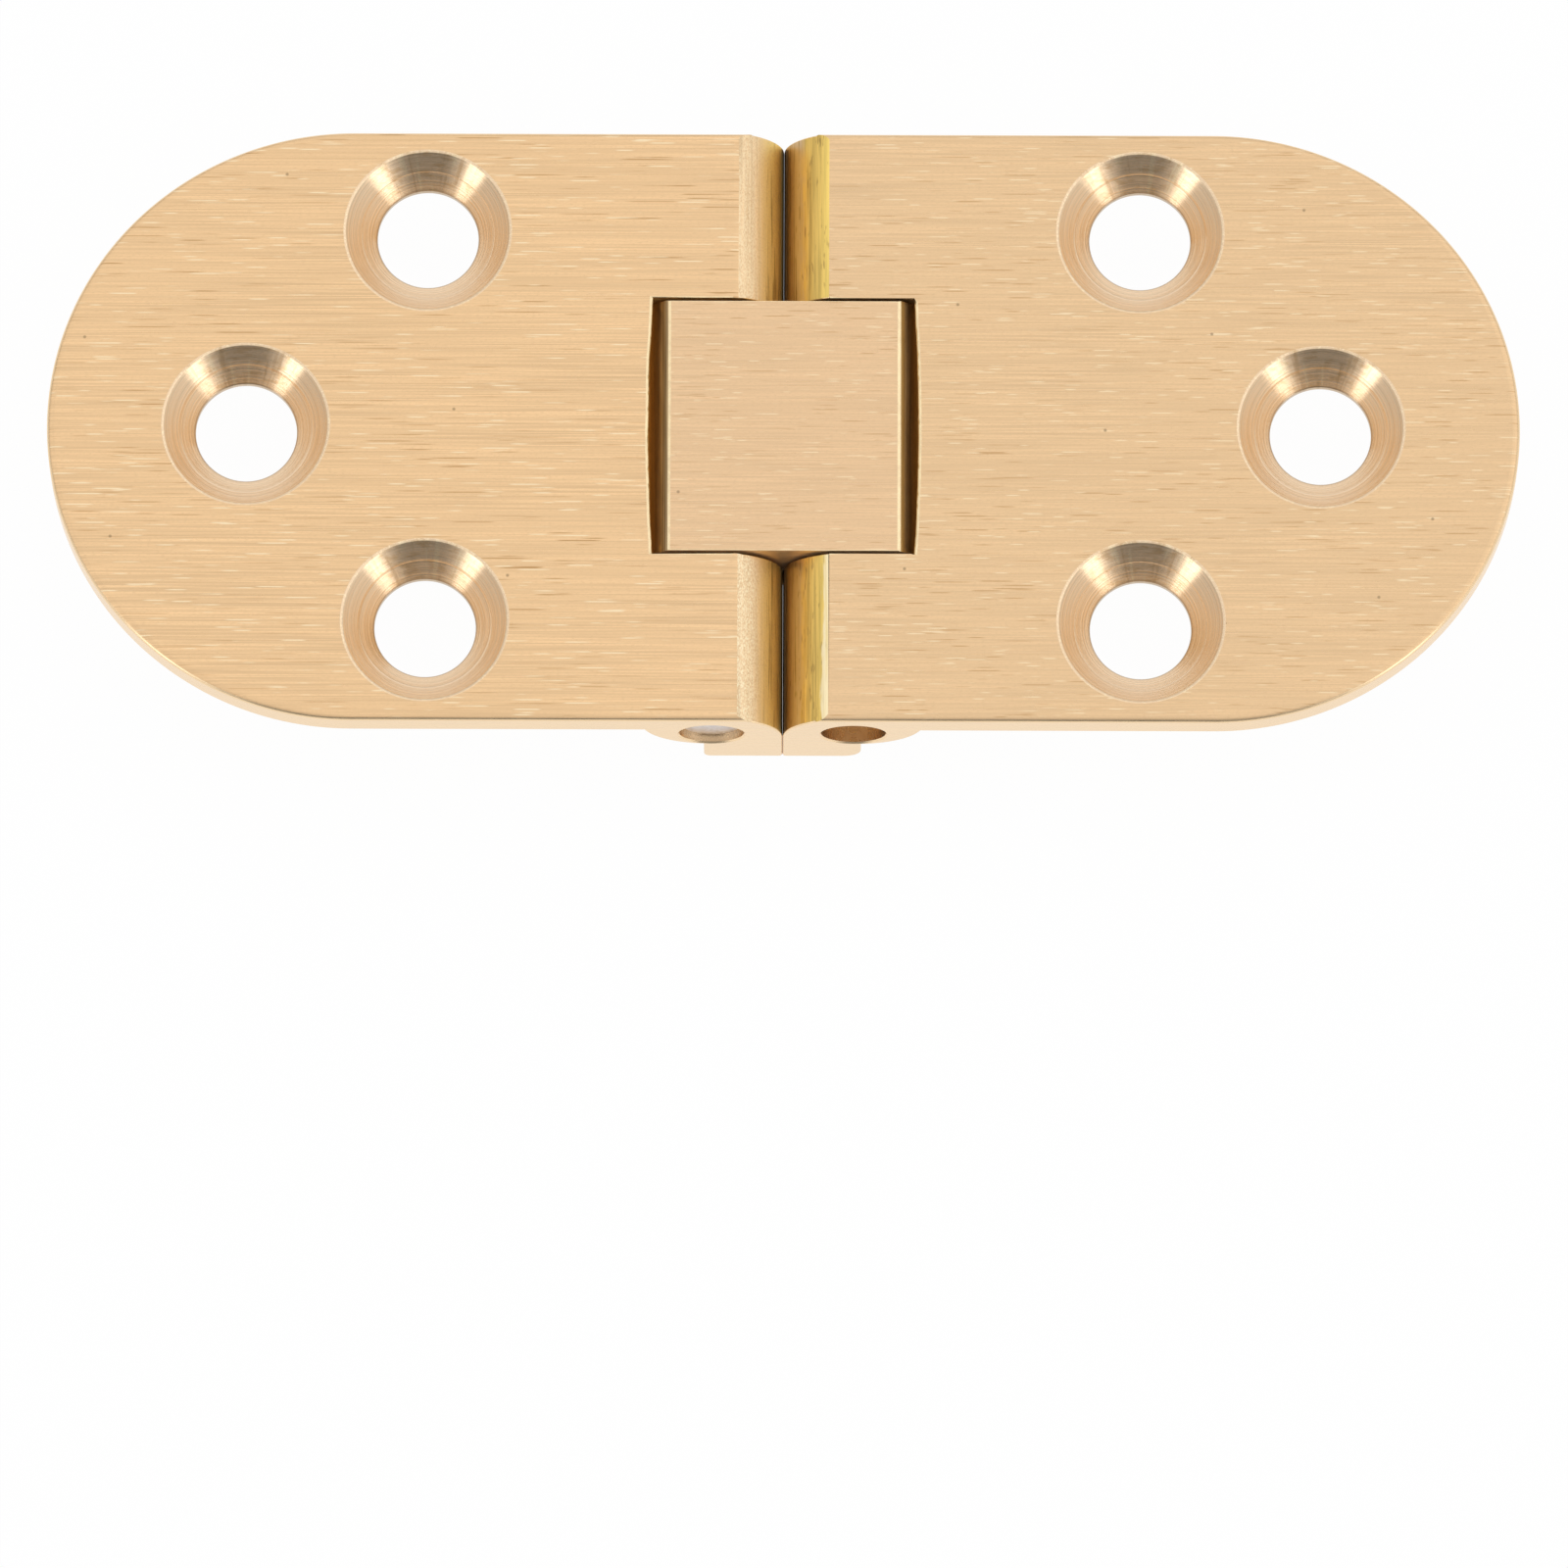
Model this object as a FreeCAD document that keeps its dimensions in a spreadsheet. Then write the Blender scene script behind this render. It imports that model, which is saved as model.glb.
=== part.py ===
import FreeCAD, Part
import os

import Sketcher
from FreeCAD import Placement, Rotation, Vector

# A flush folding hinge for a table leaf: two brass leaves, the link between them and two steel pins.
# +X runs along the open hinge, +Y along the pins and +Z up out of the show face.
# The parting plane is x = 0, and the feet under the knuckles stand on z = 0.
# Each piece is drawn with the show face at z = 0 and is then lifted onto its feet.

# Driving dimensions in millimetres, and in degrees for the countersink.
SIZES = (
    ("leaf_length", 40.0, "parting plane to the tip of the rounded end"),
    ("leaf_width", 33.2, "across the leaf, along the pins"),
    ("plate_thickness", 2.1, "leaf away from the knuckles"),
    ("parting_gap", 0.1, "between the two leaves when the hinge is open flat"),
    ("pin_depth", 2.95, "pin axis below the show face"),
    ("shut_gap", 1.8, "between the two show faces when the hinge is folded shut"),
    ("pin_diameter", 3.5, "pin, and the knuckle bore that grips it"),
    ("pin_inset_near", 0.4, "pin end below the leaf's edge, on the side it was driven to"),
    ("pin_inset_far", 1.6, "pin end below the leaf's edge, on the other side"),
    ("pin_chamfer", 0.25, "bevel on both ends of a pin"),
    ("nose_width", 2.46, "parting plane to the start of the flat show face"),
    ("boss_wall", 0.25, "metal left under the knuckle bore"),
    ("boss_reach", 3.65, "pin axis to where the boss runs into the underside"),
    ("foot_drop", 2.45, "foot below the boss"),
    ("foot_length", 4.27, "parting plane to the heel of the foot"),
    ("toe_radius", 0.2, "foot corner at the parting plane"),
    ("left_heel_radius", 0.4, "outer foot corner of the left leaf"),
    ("right_heel_radius", 1.0, "outer foot corner of the right leaf"),
    ("link_width", 14.15, "link along the pins"),
    ("link_crown", 0.88, "round of the link's end that the flat show face cuts off"),
    ("link_play", 0.05, "running clearance between a pin and the link, on the radius"),
    ("link_edge", 0.12, "broken edge round the link's show face"),
    ("link_side_gap", 0.15, "between the link and each side of the slot"),
    ("swing_gap", 0.3, "between the link's round end and the hollow it turns in"),
    ("slot_clearance", 0.3, "between the slot's end and the show face of the upright link"),
    ("slot_bow", 0.22, "how far the slot's end bows outwards at mid width"),
    ("screw_bore", 5.5, "screw hole"),
    ("screw_head", 9.0, "countersink across its mouth"),
    ("screw_angle", 90.0, "countersink cone"),
    ("screw_end_margin", 10.8, "tip of the leaf to the end screw"),
    ("screw_row_step", 9.8, "end screw to the pair, along the leaf"),
    ("screw_edge_margin", 5.6, "long edge of the leaf to a screw of the pair"),
    ("edge_break", 0.12, "broken edge round the plate's outline"),
)

# Lengths that follow from the driving dimensions.
HALF_GAP = "sizes.parting_gap / 2"
HALF_WIDTH = "sizes.leaf_width / 2"
PIN_OFFSET = "(sizes.pin_depth + sizes.shut_gap / 2)"
NOSE_RADIUS = f"({PIN_OFFSET} - {HALF_GAP})"
NOSE_DEPTH = f"sqrt({NOSE_RADIUS} ^ 2 - ({PIN_OFFSET} - sizes.nose_width) ^ 2)"
BOSS_DEPTH = "(sizes.pin_depth + sizes.pin_diameter / 2 + sizes.boss_wall)"
BOSS_SAG = f"({BOSS_DEPTH} - sizes.plate_thickness)"
BOSS_RADIUS = f"((sizes.boss_reach ^ 2 + {BOSS_SAG} ^ 2) / (2 * {BOSS_SAG}))"
STAND_HEIGHT = f"({BOSS_DEPTH} + sizes.foot_drop)"
LINK_RADIUS = "(sizes.pin_depth + sizes.link_crown)"
LINK_REACH = f"({PIN_OFFSET} + sqrt({LINK_RADIUS} ^ 2 - sizes.pin_depth ^ 2))"
LINK_BORE = "(sizes.pin_diameter + 2 * sizes.link_play)"
SLOT_HALF_WIDTH = "(sizes.link_width / 2 + sizes.link_side_gap)"
SLOT_REACH = f"({PIN_OFFSET} + sizes.pin_depth + sizes.slot_clearance)"
SLOT_BOW_RADIUS = f"(({SLOT_HALF_WIDTH} ^ 2 + sizes.slot_bow ^ 2) / (2 * sizes.slot_bow))"
HOLLOW_RADIUS = f"({LINK_RADIUS} + sizes.swing_gap)"
SCREW_END = "(sizes.leaf_length - sizes.screw_end_margin)"
SCREW_ROW = f"({SCREW_END} - sizes.screw_row_step)"
SCREW_SIDE = f"({HALF_WIDTH} - sizes.screw_edge_margin)"
PIN_LENGTH = "(sizes.leaf_width - sizes.pin_inset_near - sizes.pin_inset_far)"

# Names of the ends of a sketched edge, and of the sketch's own origin and axes.
START, END, CENTRE = range(1, 4)
ORIGIN = (-1, 1)
X_AXIS, Y_AXIS = -1, -2
SAME_PLACE = 1e-4
EDGE_SAMPLES = 5

doc = FreeCAD.newDocument("folding_hinge")


def make_sheet():
    """Write the driving dimensions into a spreadsheet, one row each."""
    sheet = doc.addObject("Spreadsheet::Sheet", "sizes")
    for row, (alias, value, meaning) in enumerate(SIZES, 1):
        sheet.set(f"A{row}", alias)
        sheet.set(f"B{row}", str(value))
        sheet.set(f"C{row}", meaning)
        sheet.setAlias(f"B{row}", alias)
    doc.recompute()
    return sheet


sizes = make_sheet()


def size_of(formula):
    """Value of a formula over the sheet, used to draw a sketch near its solution."""
    return float(sizes.evalExpression(formula))


def new_body(label, turn=0):
    """Body drawn with its show face at z = 0, lifted onto the feet and turned about +Z by degrees."""
    body = doc.addObject("PartDesign::Body", label)
    body.Label = label
    body.Placement = Placement(Vector(), Rotation(Vector(0, 0, 1), turn))
    body.setExpression("Placement.Base.z", STAND_HEIGHT)
    return body


def new_sketch(body, role, name):
    """Empty sketch on one of the body's own origin planes."""
    sketch = body.newObject("Sketcher::SketchObject", name)
    plane = next(item for item in body.Origin.OriginFeatures if item.Role == role)
    sketch.AttachmentSupport = (plane, [""])
    sketch.MapMode = "FlatFace"
    return sketch


def line(sketch, start, end):
    """Add a straight edge between two (x, y) points and return its index."""
    return sketch.addGeometry(Part.LineSegment(Vector(*start, 0), Vector(*end, 0)), False)


def arc(sketch, centre, start, end):
    """Add the arc that runs anticlockwise about centre from start to end and return its index."""
    middle = Vector(*centre, 0)
    first = Vector(*start, 0) - middle
    last = Vector(*end, 0) - middle
    circle = Part.Circle(middle, Vector(0, 0, 1), first.Length)
    angles = [circle.parameter(middle + spoke) for spoke in (first, last)]
    return sketch.addGeometry(Part.ArcOfCircle(circle, *angles), False)


def disc(sketch, centre, diameter):
    """Add a full circle and return its index."""
    circle = Part.Circle(Vector(*centre, 0), Vector(0, 0, 1), diameter / 2)
    return sketch.addGeometry(circle, False)


def relate(sketch, kind, *places):
    """Add a constraint that has no size of its own."""
    sketch.addConstraint(Sketcher.Constraint(kind, *places))


def drive(sketch, kind, name, formula, *places):
    """Add a sized constraint and bind it to a formula over the sheet."""
    index = sketch.addConstraint(Sketcher.Constraint(kind, *places, size_of(formula)))
    sketch.renameConstraint(index, name)
    sketch.setExpression(f"Constraints.{name}", formula)


def join(sketch, edges, smooth=()):
    """Close a chain of edges end to start; the joints listed in smooth are tangent as well."""
    for place, edge in enumerate(edges):
        following = edges[(place + 1) % len(edges)]
        kind = "Tangent" if (edge, following) in smooth else "Coincident"
        relate(sketch, kind, edge, END, following, START)


def pad_across(body, sketch, name, width):
    """Extrude a section drawn on the XZ plane evenly to both sides."""
    pad = body.newObject("PartDesign::Pad", name)
    pad.Profile = sketch
    pad.SideType = "Symmetric"
    pad.setExpression("Length", width)
    doc.recompute()
    return pad


def cut(body, sketch, name, across=None):
    """Cut a sketch out of the body: through everything below it, or a given width evenly to both sides."""
    before = body.Shape.Volume
    pocket = body.newObject("PartDesign::Pocket", name)
    pocket.Profile = sketch
    if across is None:
        pocket.Type = "ThroughAll"
    else:
        pocket.SideType = "Symmetric"
        pocket.setExpression("Length", across)
    doc.recompute()
    if pocket.Shape.isNull() or not pocket.Shape.Volume < before:
        raise RuntimeError(f"{name} removes nothing from {body.Label}")
    return pocket


def break_edges(body, name, size, wanted):
    """Bevel the edges of the body whose sampled points satisfy wanted(points)."""
    base = body.Tip
    names = []
    for number, edge in enumerate(base.Shape.Edges, 1):
        if wanted(edge.discretize(EDGE_SAMPLES)):
            names.append(f"Edge{number}")
    bevel = body.newObject("PartDesign::Chamfer", name)
    bevel.Base = (base, names)
    bevel.setExpression("Size", size)
    doc.recompute()
    return bevel


def same(first, second):
    """Whether two lengths are equal but for rounding errors."""
    return abs(first - second) < SAME_PLACE


def draw_leaf_section(body, heel_radius):
    """Section of the leaf across the pin: plate, rounded nose, foot and the boss round the bore."""
    sketch = new_sketch(body, "XZ_Plane", "section")
    tip = size_of("sizes.leaf_length")
    gap = size_of(HALF_GAP)
    pin = size_of(PIN_OFFSET)
    nose = size_of("sizes.nose_width")
    nose_depth = size_of(NOSE_DEPTH)
    toe = size_of("sizes.toe_radius")
    heel = size_of(heel_radius)
    foot = size_of("sizes.foot_length")
    base = size_of(STAND_HEIGHT)
    plate = size_of("sizes.plate_thickness")
    boss_end = pin + size_of("sizes.boss_reach")
    boss_radius = size_of(BOSS_RADIUS)
    boss_centre = size_of(BOSS_DEPTH) - boss_radius
    boss_start = boss_centre + (boss_radius ** 2 - (foot - pin) ** 2) ** 0.5

    show_face = line(sketch, (tip, 0), (nose, 0))
    nose_arc = arc(sketch, (pin, -nose_depth), (nose, 0), (gap, -nose_depth))
    parting_face = line(sketch, (gap, -nose_depth), (gap, toe - base))
    toe_arc = arc(sketch, (gap + toe, toe - base), (gap, toe - base), (gap + toe, -base))
    sole = line(sketch, (gap + toe, -base), (foot - heel, -base))
    heel_arc = arc(sketch, (foot - heel, heel - base), (foot - heel, -base), (foot, heel - base))
    heel_face = line(sketch, (foot, heel - base), (foot, -boss_start))
    boss_arc = arc(sketch, (pin, -boss_centre), (foot, -boss_start), (boss_end, -plate))
    underside = line(sketch, (boss_end, -plate), (tip, -plate))
    end_face = line(sketch, (tip, -plate), (tip, 0))

    edges = [show_face, nose_arc, parting_face, toe_arc, sole, heel_arc]
    edges += [heel_face, boss_arc, underside, end_face]
    smooth = [(nose_arc, parting_face), (parting_face, toe_arc), (toe_arc, sole)]
    smooth += [(sole, heel_arc), (heel_arc, heel_face)]
    join(sketch, edges, smooth)
    for level in (show_face, sole, underside):
        relate(sketch, "Horizontal", level)
    for upright in (parting_face, heel_face, end_face):
        relate(sketch, "Vertical", upright)
    relate(sketch, "PointOnObject", show_face, START, X_AXIS)
    relate(sketch, "Vertical", nose_arc, CENTRE, boss_arc, CENTRE)
    drive(sketch, "DistanceX", "tip", "sizes.leaf_length", *ORIGIN, end_face, START)
    drive(sketch, "DistanceX", "nose", "sizes.nose_width", *ORIGIN, show_face, END)
    drive(sketch, "DistanceX", "parting", HALF_GAP, *ORIGIN, parting_face, START)
    drive(sketch, "DistanceX", "pin", PIN_OFFSET, *ORIGIN, nose_arc, CENTRE)
    drive(sketch, "Radius", "toe", "sizes.toe_radius", toe_arc)
    drive(sketch, "Radius", "heel", heel_radius, heel_arc)
    drive(sketch, "DistanceX", "foot", "sizes.foot_length", *ORIGIN, heel_face, START)
    drive(sketch, "DistanceY", "base", STAND_HEIGHT, sole, START, *ORIGIN)
    drive(sketch, "DistanceX", "boss_reach", "sizes.boss_reach", boss_arc, CENTRE, boss_arc, END)
    drive(sketch, "Radius", "boss_radius", BOSS_RADIUS, boss_arc)
    drive(sketch, "DistanceY", "plate", "sizes.plate_thickness", underside, START, *ORIGIN)
    return sketch


def draw_rounded_end(body):
    """Plan of the waste outside the half-round end of the plate."""
    sketch = new_sketch(body, "XY_Plane", "rounded_end")
    half = size_of(HALF_WIDTH)
    waste = size_of("sizes.leaf_width")
    tip = size_of("sizes.leaf_length")
    start = tip - half

    end_arc = arc(sketch, (start, 0), (start, -half), (start, half))
    back_upper = line(sketch, (start, half), (start, waste))
    top = line(sketch, (start, waste), (tip + half, waste))
    side = line(sketch, (tip + half, waste), (tip + half, -waste))
    bottom = line(sketch, (tip + half, -waste), (start, -waste))
    back_lower = line(sketch, (start, -waste), (start, -half))

    join(sketch, [end_arc, back_upper, top, side, bottom, back_lower])
    for level in (top, bottom):
        relate(sketch, "Horizontal", level)
    for upright in (back_upper, side, back_lower):
        relate(sketch, "Vertical", upright)
    relate(sketch, "PointOnObject", end_arc, CENTRE, X_AXIS)
    relate(sketch, "Symmetric", top, START, bottom, END, X_AXIS)
    drive(sketch, "Radius", "end_radius", HALF_WIDTH, end_arc)
    drive(sketch, "DistanceX", "end_start", f"sizes.leaf_length - {HALF_WIDTH}", *ORIGIN, end_arc, END)
    drive(sketch, "DistanceX", "centre", f"sizes.leaf_length - {HALF_WIDTH}", *ORIGIN, end_arc, CENTRE)
    drive(sketch, "DistanceX", "waste_end", f"sizes.leaf_length + {HALF_WIDTH}", *ORIGIN, side, START)
    drive(sketch, "DistanceY", "waste_side", "sizes.leaf_width", *ORIGIN, top, START)
    return sketch


def draw_slot(body):
    """Plan of the slot that takes the link, with its end bowed a little."""
    sketch = new_sketch(body, "XY_Plane", "slot")
    reach = size_of(SLOT_REACH)
    half = size_of(SLOT_HALF_WIDTH)
    bow_centre = reach + size_of("sizes.slot_bow") - size_of(SLOT_BOW_RADIUS)

    near_side = line(sketch, (0, -half), (reach, -half))
    bow = arc(sketch, (bow_centre, 0), (reach, -half), (reach, half))
    far_side = line(sketch, (reach, half), (0, half))
    mouth = line(sketch, (0, half), (0, -half))

    join(sketch, [near_side, bow, far_side, mouth])
    relate(sketch, "Horizontal", near_side)
    relate(sketch, "Horizontal", far_side)
    relate(sketch, "Symmetric", mouth, START, mouth, END, *ORIGIN)
    relate(sketch, "PointOnObject", mouth, START, Y_AXIS)
    relate(sketch, "PointOnObject", bow, CENTRE, X_AXIS)
    drive(sketch, "DistanceX", "reach", SLOT_REACH, *ORIGIN, near_side, END)
    drive(sketch, "DistanceY", "half_width", SLOT_HALF_WIDTH, *ORIGIN, far_side, END)
    drive(sketch, "Radius", "bow_radius", SLOT_BOW_RADIUS, bow)
    return sketch


def draw_round(body, name, diameter, mirrored=False):
    """Circle about the pin axis, and its twin about the other pin where mirrored is true."""
    sketch = new_sketch(body, "XZ_Plane", name)
    pin = size_of(PIN_OFFSET)
    depth = size_of("sizes.pin_depth")
    sides = (1, -1) if mirrored else (1,)
    for side in sides:
        ring = disc(sketch, (side * pin, -depth), size_of(diameter))
        drive(sketch, "Diameter", f"diameter_{ring}", diameter, ring)
        drive(sketch, "DistanceX", f"offset_{ring}", f"{side} * {PIN_OFFSET}", *ORIGIN, ring, CENTRE)
        drive(sketch, "DistanceY", f"depth_{ring}", "sizes.pin_depth", ring, CENTRE, *ORIGIN)
    return sketch


def drill_screw_holes(body):
    """Three countersunk holes: one near the tip and a pair nearer the knuckles."""
    sketch = new_sketch(body, "XY_Plane", "screw_places")
    end = disc(sketch, (size_of(SCREW_END), 0), size_of("sizes.screw_bore"))
    relate(sketch, "PointOnObject", end, CENTRE, X_AXIS)
    drive(sketch, "DistanceX", "end_place", SCREW_END, *ORIGIN, end, CENTRE)
    drive(sketch, "Diameter", "end_bore", "sizes.screw_bore", end)
    for name, side in (("far", 1), ("near", -1)):
        place = (size_of(SCREW_ROW), side * size_of(SCREW_SIDE))
        ring = disc(sketch, place, size_of("sizes.screw_bore"))
        relate(sketch, "Equal", ring, end)
        drive(sketch, "DistanceX", f"{name}_place", SCREW_ROW, *ORIGIN, ring, CENTRE)
        drive(sketch, "DistanceY", f"{name}_side", f"{side} * {SCREW_SIDE}", *ORIGIN, ring, CENTRE)
    doc.recompute()
    before = body.Shape.Volume
    hole = body.newObject("PartDesign::Hole", "screw_holes")
    hole.Profile = sketch
    hole.DepthType = "ThroughAll"
    hole.HoleCutType = "Countersink"
    hole.HoleCutCustomValues = True
    hole.setExpression("Diameter", "sizes.screw_bore")
    hole.setExpression("HoleCutDiameter", "sizes.screw_head")
    hole.setExpression("HoleCutCountersinkAngle", "sizes.screw_angle")
    doc.recompute()
    if hole.Shape.isNull() or not hole.Shape.Volume < before:
        raise RuntimeError(f"the screw holes remove nothing from {body.Label}")
    return hole


def make_leaf(label, turn, heel_radius):
    """Leaf milled from a drawn brass section: rounded end, slot, hollow, pin bore and screw holes."""
    body = new_body(label, turn)
    pad_across(body, draw_leaf_section(body, heel_radius), "drawn_bar", "sizes.leaf_width")
    cut(body, draw_rounded_end(body), "end_rounding")
    cut(body, draw_slot(body), "link_slot")
    hollow = draw_round(body, "hollow", f"2 * {HOLLOW_RADIUS}")
    cut(body, hollow, "link_hollow", f"2 * {SLOT_HALF_WIDTH}")
    bore = draw_round(body, "bore", "sizes.pin_diameter")
    cut(body, bore, "pin_bore", "sizes.leaf_width")
    drill_screw_holes(body)
    break_edges(body, "broken_rim", "sizes.edge_break", on_rim)
    return body


def on_rim(points):
    """Whether an edge of a leaf runs along its outline, and isn't the seam where the rounded end begins."""
    half = size_of(HALF_WIDTH)
    end_start = size_of("sizes.leaf_length") - half
    on_side = all(same(abs(point.y), half) for point in points)
    on_end = all(same(((point.x - end_start) ** 2 + point.y ** 2) ** 0.5, half) for point in points)
    on_seam = all(same(point.x, end_start) for point in points)
    return (on_side or on_end) and not on_seam


def make_link(label):
    """Link with a flat show face, round ends about both pins and a bore for each."""
    body = new_body(label)
    sketch = new_sketch(body, "XZ_Plane", "section")
    pin = size_of(PIN_OFFSET)
    depth = size_of("sizes.pin_depth")
    radius = size_of(LINK_RADIUS)
    reach = size_of(LINK_REACH)

    show_face = line(sketch, (reach, 0), (-reach, 0))
    left_end = arc(sketch, (-pin, -depth), (-reach, 0), (-pin, -depth - radius))
    sole = line(sketch, (-pin, -depth - radius), (pin, -depth - radius))
    right_end = arc(sketch, (pin, -depth), (pin, -depth - radius), (reach, 0))

    edges = [show_face, left_end, sole, right_end]
    join(sketch, edges, [(left_end, sole), (sole, right_end)])
    relate(sketch, "Horizontal", show_face)
    relate(sketch, "PointOnObject", show_face, START, X_AXIS)
    relate(sketch, "Symmetric", left_end, CENTRE, right_end, CENTRE, Y_AXIS)
    relate(sketch, "Equal", left_end, right_end)
    drive(sketch, "DistanceX", "pin", PIN_OFFSET, *ORIGIN, right_end, CENTRE)
    drive(sketch, "DistanceY", "depth", "sizes.pin_depth", right_end, CENTRE, *ORIGIN)
    drive(sketch, "Radius", "end_radius", LINK_RADIUS, right_end)

    pad_across(body, sketch, "bar", "sizes.link_width")
    bores = draw_round(body, "bores", LINK_BORE, mirrored=True)
    cut(body, bores, "pin_bores", "sizes.link_width")
    break_edges(body, "broken_edges", "sizes.link_edge", on_show_face)
    return body


def on_show_face(points):
    """Whether an edge of the link borders its show face."""
    return all(same(point.z, 0) for point in points)


def make_pin(label, turn):
    """Round pin with bevelled ends, set off centre along the knuckles."""
    body = new_body(label, turn)
    sketch = new_sketch(body, "YZ_Plane", "half_section")
    sketch.setExpression("AttachmentOffset.Base.y", "-sizes.pin_depth")
    sketch.setExpression("AttachmentOffset.Base.z", PIN_OFFSET)
    last = size_of(f"{HALF_WIDTH} - sizes.pin_inset_near")
    first = last - size_of(PIN_LENGTH)
    radius = size_of("sizes.pin_diameter / 2")
    bevel = size_of("sizes.pin_chamfer")

    axis = line(sketch, (first, 0), (last, 0))
    last_end = line(sketch, (last, 0), (last, radius - bevel))
    last_bevel = line(sketch, (last, radius - bevel), (last - bevel, radius))
    side = line(sketch, (last - bevel, radius), (first + bevel, radius))
    first_bevel = line(sketch, (first + bevel, radius), (first, radius - bevel))
    first_end = line(sketch, (first, radius - bevel), (first, 0))

    join(sketch, [axis, last_end, last_bevel, side, first_bevel, first_end])
    relate(sketch, "PointOnObject", axis, START, X_AXIS)
    for level in (axis, side):
        relate(sketch, "Horizontal", level)
    for upright in (last_end, first_end):
        relate(sketch, "Vertical", upright)
    relate(sketch, "Equal", first_end, last_end)
    drive(sketch, "DistanceX", "last", f"{HALF_WIDTH} - sizes.pin_inset_near", *ORIGIN, axis, END)
    drive(sketch, "DistanceX", "length", PIN_LENGTH, axis, START, axis, END)
    drive(sketch, "DistanceY", "radius", "sizes.pin_diameter / 2", *ORIGIN, side, START)
    drive(sketch, "DistanceY", "bevel_rise", "sizes.pin_chamfer", last_bevel, START, last_bevel, END)
    drive(sketch, "DistanceX", "last_bevel", "sizes.pin_chamfer", last_bevel, END, last_bevel, START)
    drive(sketch, "DistanceX", "first_bevel", "sizes.pin_chamfer", first_bevel, END, first_bevel, START)

    turned = body.newObject("PartDesign::Revolution", "turned_pin")
    turned.Profile = sketch
    turned.ReferenceAxis = (sketch, ["H_Axis"])
    doc.recompute()
    return body


def check_document(pieces):
    """Stop before anything is written if a feature failed or a piece is not one sound solid."""
    doc.recompute()
    for item in doc.Objects:
        faults = [state for state in item.State if state in ("Invalid", "Error")]
        if faults:
            raise RuntimeError(f"{item.Label} is {faults}")
    for piece in pieces:
        if piece.Shape.isNull() or not piece.Shape.isValid() or len(piece.Shape.Solids) != 1:
            raise RuntimeError(f"{piece.Label} is not one sound solid")


HALF_TURN = 180
pieces = [
    make_leaf("left_leaf", HALF_TURN, "sizes.left_heel_radius"),
    make_leaf("right_leaf", 0, "sizes.right_heel_radius"),
    make_link("centre_link"),
    make_pin("left_pin", HALF_TURN),
    make_pin("right_pin", 0),
]
check_document(pieces)
os.makedirs("parts", exist_ok=True)
for piece in pieces:
    piece.Shape.exportStep(f"parts/{piece.Label}.step")
    print(piece.Label, round(piece.Shape.Volume, 2), "mm3")
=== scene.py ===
# %% [markdown]
# # A flush folding hinge for a table leaf
#
# The real object is a small brass hinge that lies flush in a table top. Two round-ended leaves fold up
# on two pins, and a square-topped link joins the pins. The CAD model fixes every size and joint. This
# lesson dresses it: each solid gets a finer mesh with rounded edges and tool marks, and each kind of
# surface its own brass.

# %% Load the CAD frame
import math
import bmesh
import bpy
import numpy as np
from mathutils import Matrix, Vector, noise


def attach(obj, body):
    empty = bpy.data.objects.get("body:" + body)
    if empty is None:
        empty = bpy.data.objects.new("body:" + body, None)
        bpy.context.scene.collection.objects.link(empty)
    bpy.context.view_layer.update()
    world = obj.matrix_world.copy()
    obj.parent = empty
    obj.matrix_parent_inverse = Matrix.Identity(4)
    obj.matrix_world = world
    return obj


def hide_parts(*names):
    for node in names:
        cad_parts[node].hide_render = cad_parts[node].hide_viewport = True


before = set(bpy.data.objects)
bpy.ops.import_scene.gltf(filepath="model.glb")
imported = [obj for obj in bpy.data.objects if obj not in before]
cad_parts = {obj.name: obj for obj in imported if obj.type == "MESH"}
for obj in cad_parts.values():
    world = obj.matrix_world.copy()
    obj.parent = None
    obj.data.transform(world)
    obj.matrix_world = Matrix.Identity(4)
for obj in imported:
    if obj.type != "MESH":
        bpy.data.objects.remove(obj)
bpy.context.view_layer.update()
scene = bpy.context.scene
scene.view_settings.view_transform = "Standard"

# %% [markdown]
# ## Sizes
#
# Meshes are drawn in millimetres and shrunk to metres at the end. The numbers repeat the CAD sizes: the
# feet stand on z = 0 and the show face is the top.

# %% Sizes in millimetres
MM = 0.001
LEAF_LENGTH = 40.0
HALF_WIDTH = 16.6
PLATE = 2.1
TOP = 7.4
HALF_GAP = 0.004
PIN_X = 3.85
PIN_Z = TOP - 2.95
PIN_RADIUS = 1.75
NOSE_START = 2.46
NOSE_RADIUS = PIN_X - HALF_GAP
NOSE_Z = TOP - math.sqrt(NOSE_RADIUS ** 2 - (PIN_X - NOSE_START) ** 2)
BOSS_BOTTOM = 2.45
BOSS_REACH = 3.65
FOOT_LENGTH = 4.27
TOE_RADIUS = 0.2
HEEL_RADIUS = {"left_leaf": 0.4, "right_leaf": 1.0}
LINK_HALF_WIDTH = 7.075
LINK_RADIUS = 3.83
SLOT_HALF_WIDTH = 7.225
SLOT_REACH = 7.1
SLOT_BOW = 0.22
HOLLOW_RADIUS = 4.13
SCREWS = ((29.2, 0.0), (19.4, 11.0), (19.4, -11.0))
SCREW_BORE = 2.75
SCREW_MOUTH = 4.5
END_CENTRE = LEAF_LENGTH - HALF_WIDTH
print("nose centre z", round(NOSE_Z, 3), "mm, round end x", round(END_CENTRE, 2), "mm")

# %% [markdown]
# ## Drawing tools
#
# A leaf begins as a drawn bar, one section pushed along the pins, and everything else is cut out of it,
# as in a workshop. That needs three drawing tools: an arc, a prism and a turned body.

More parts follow.
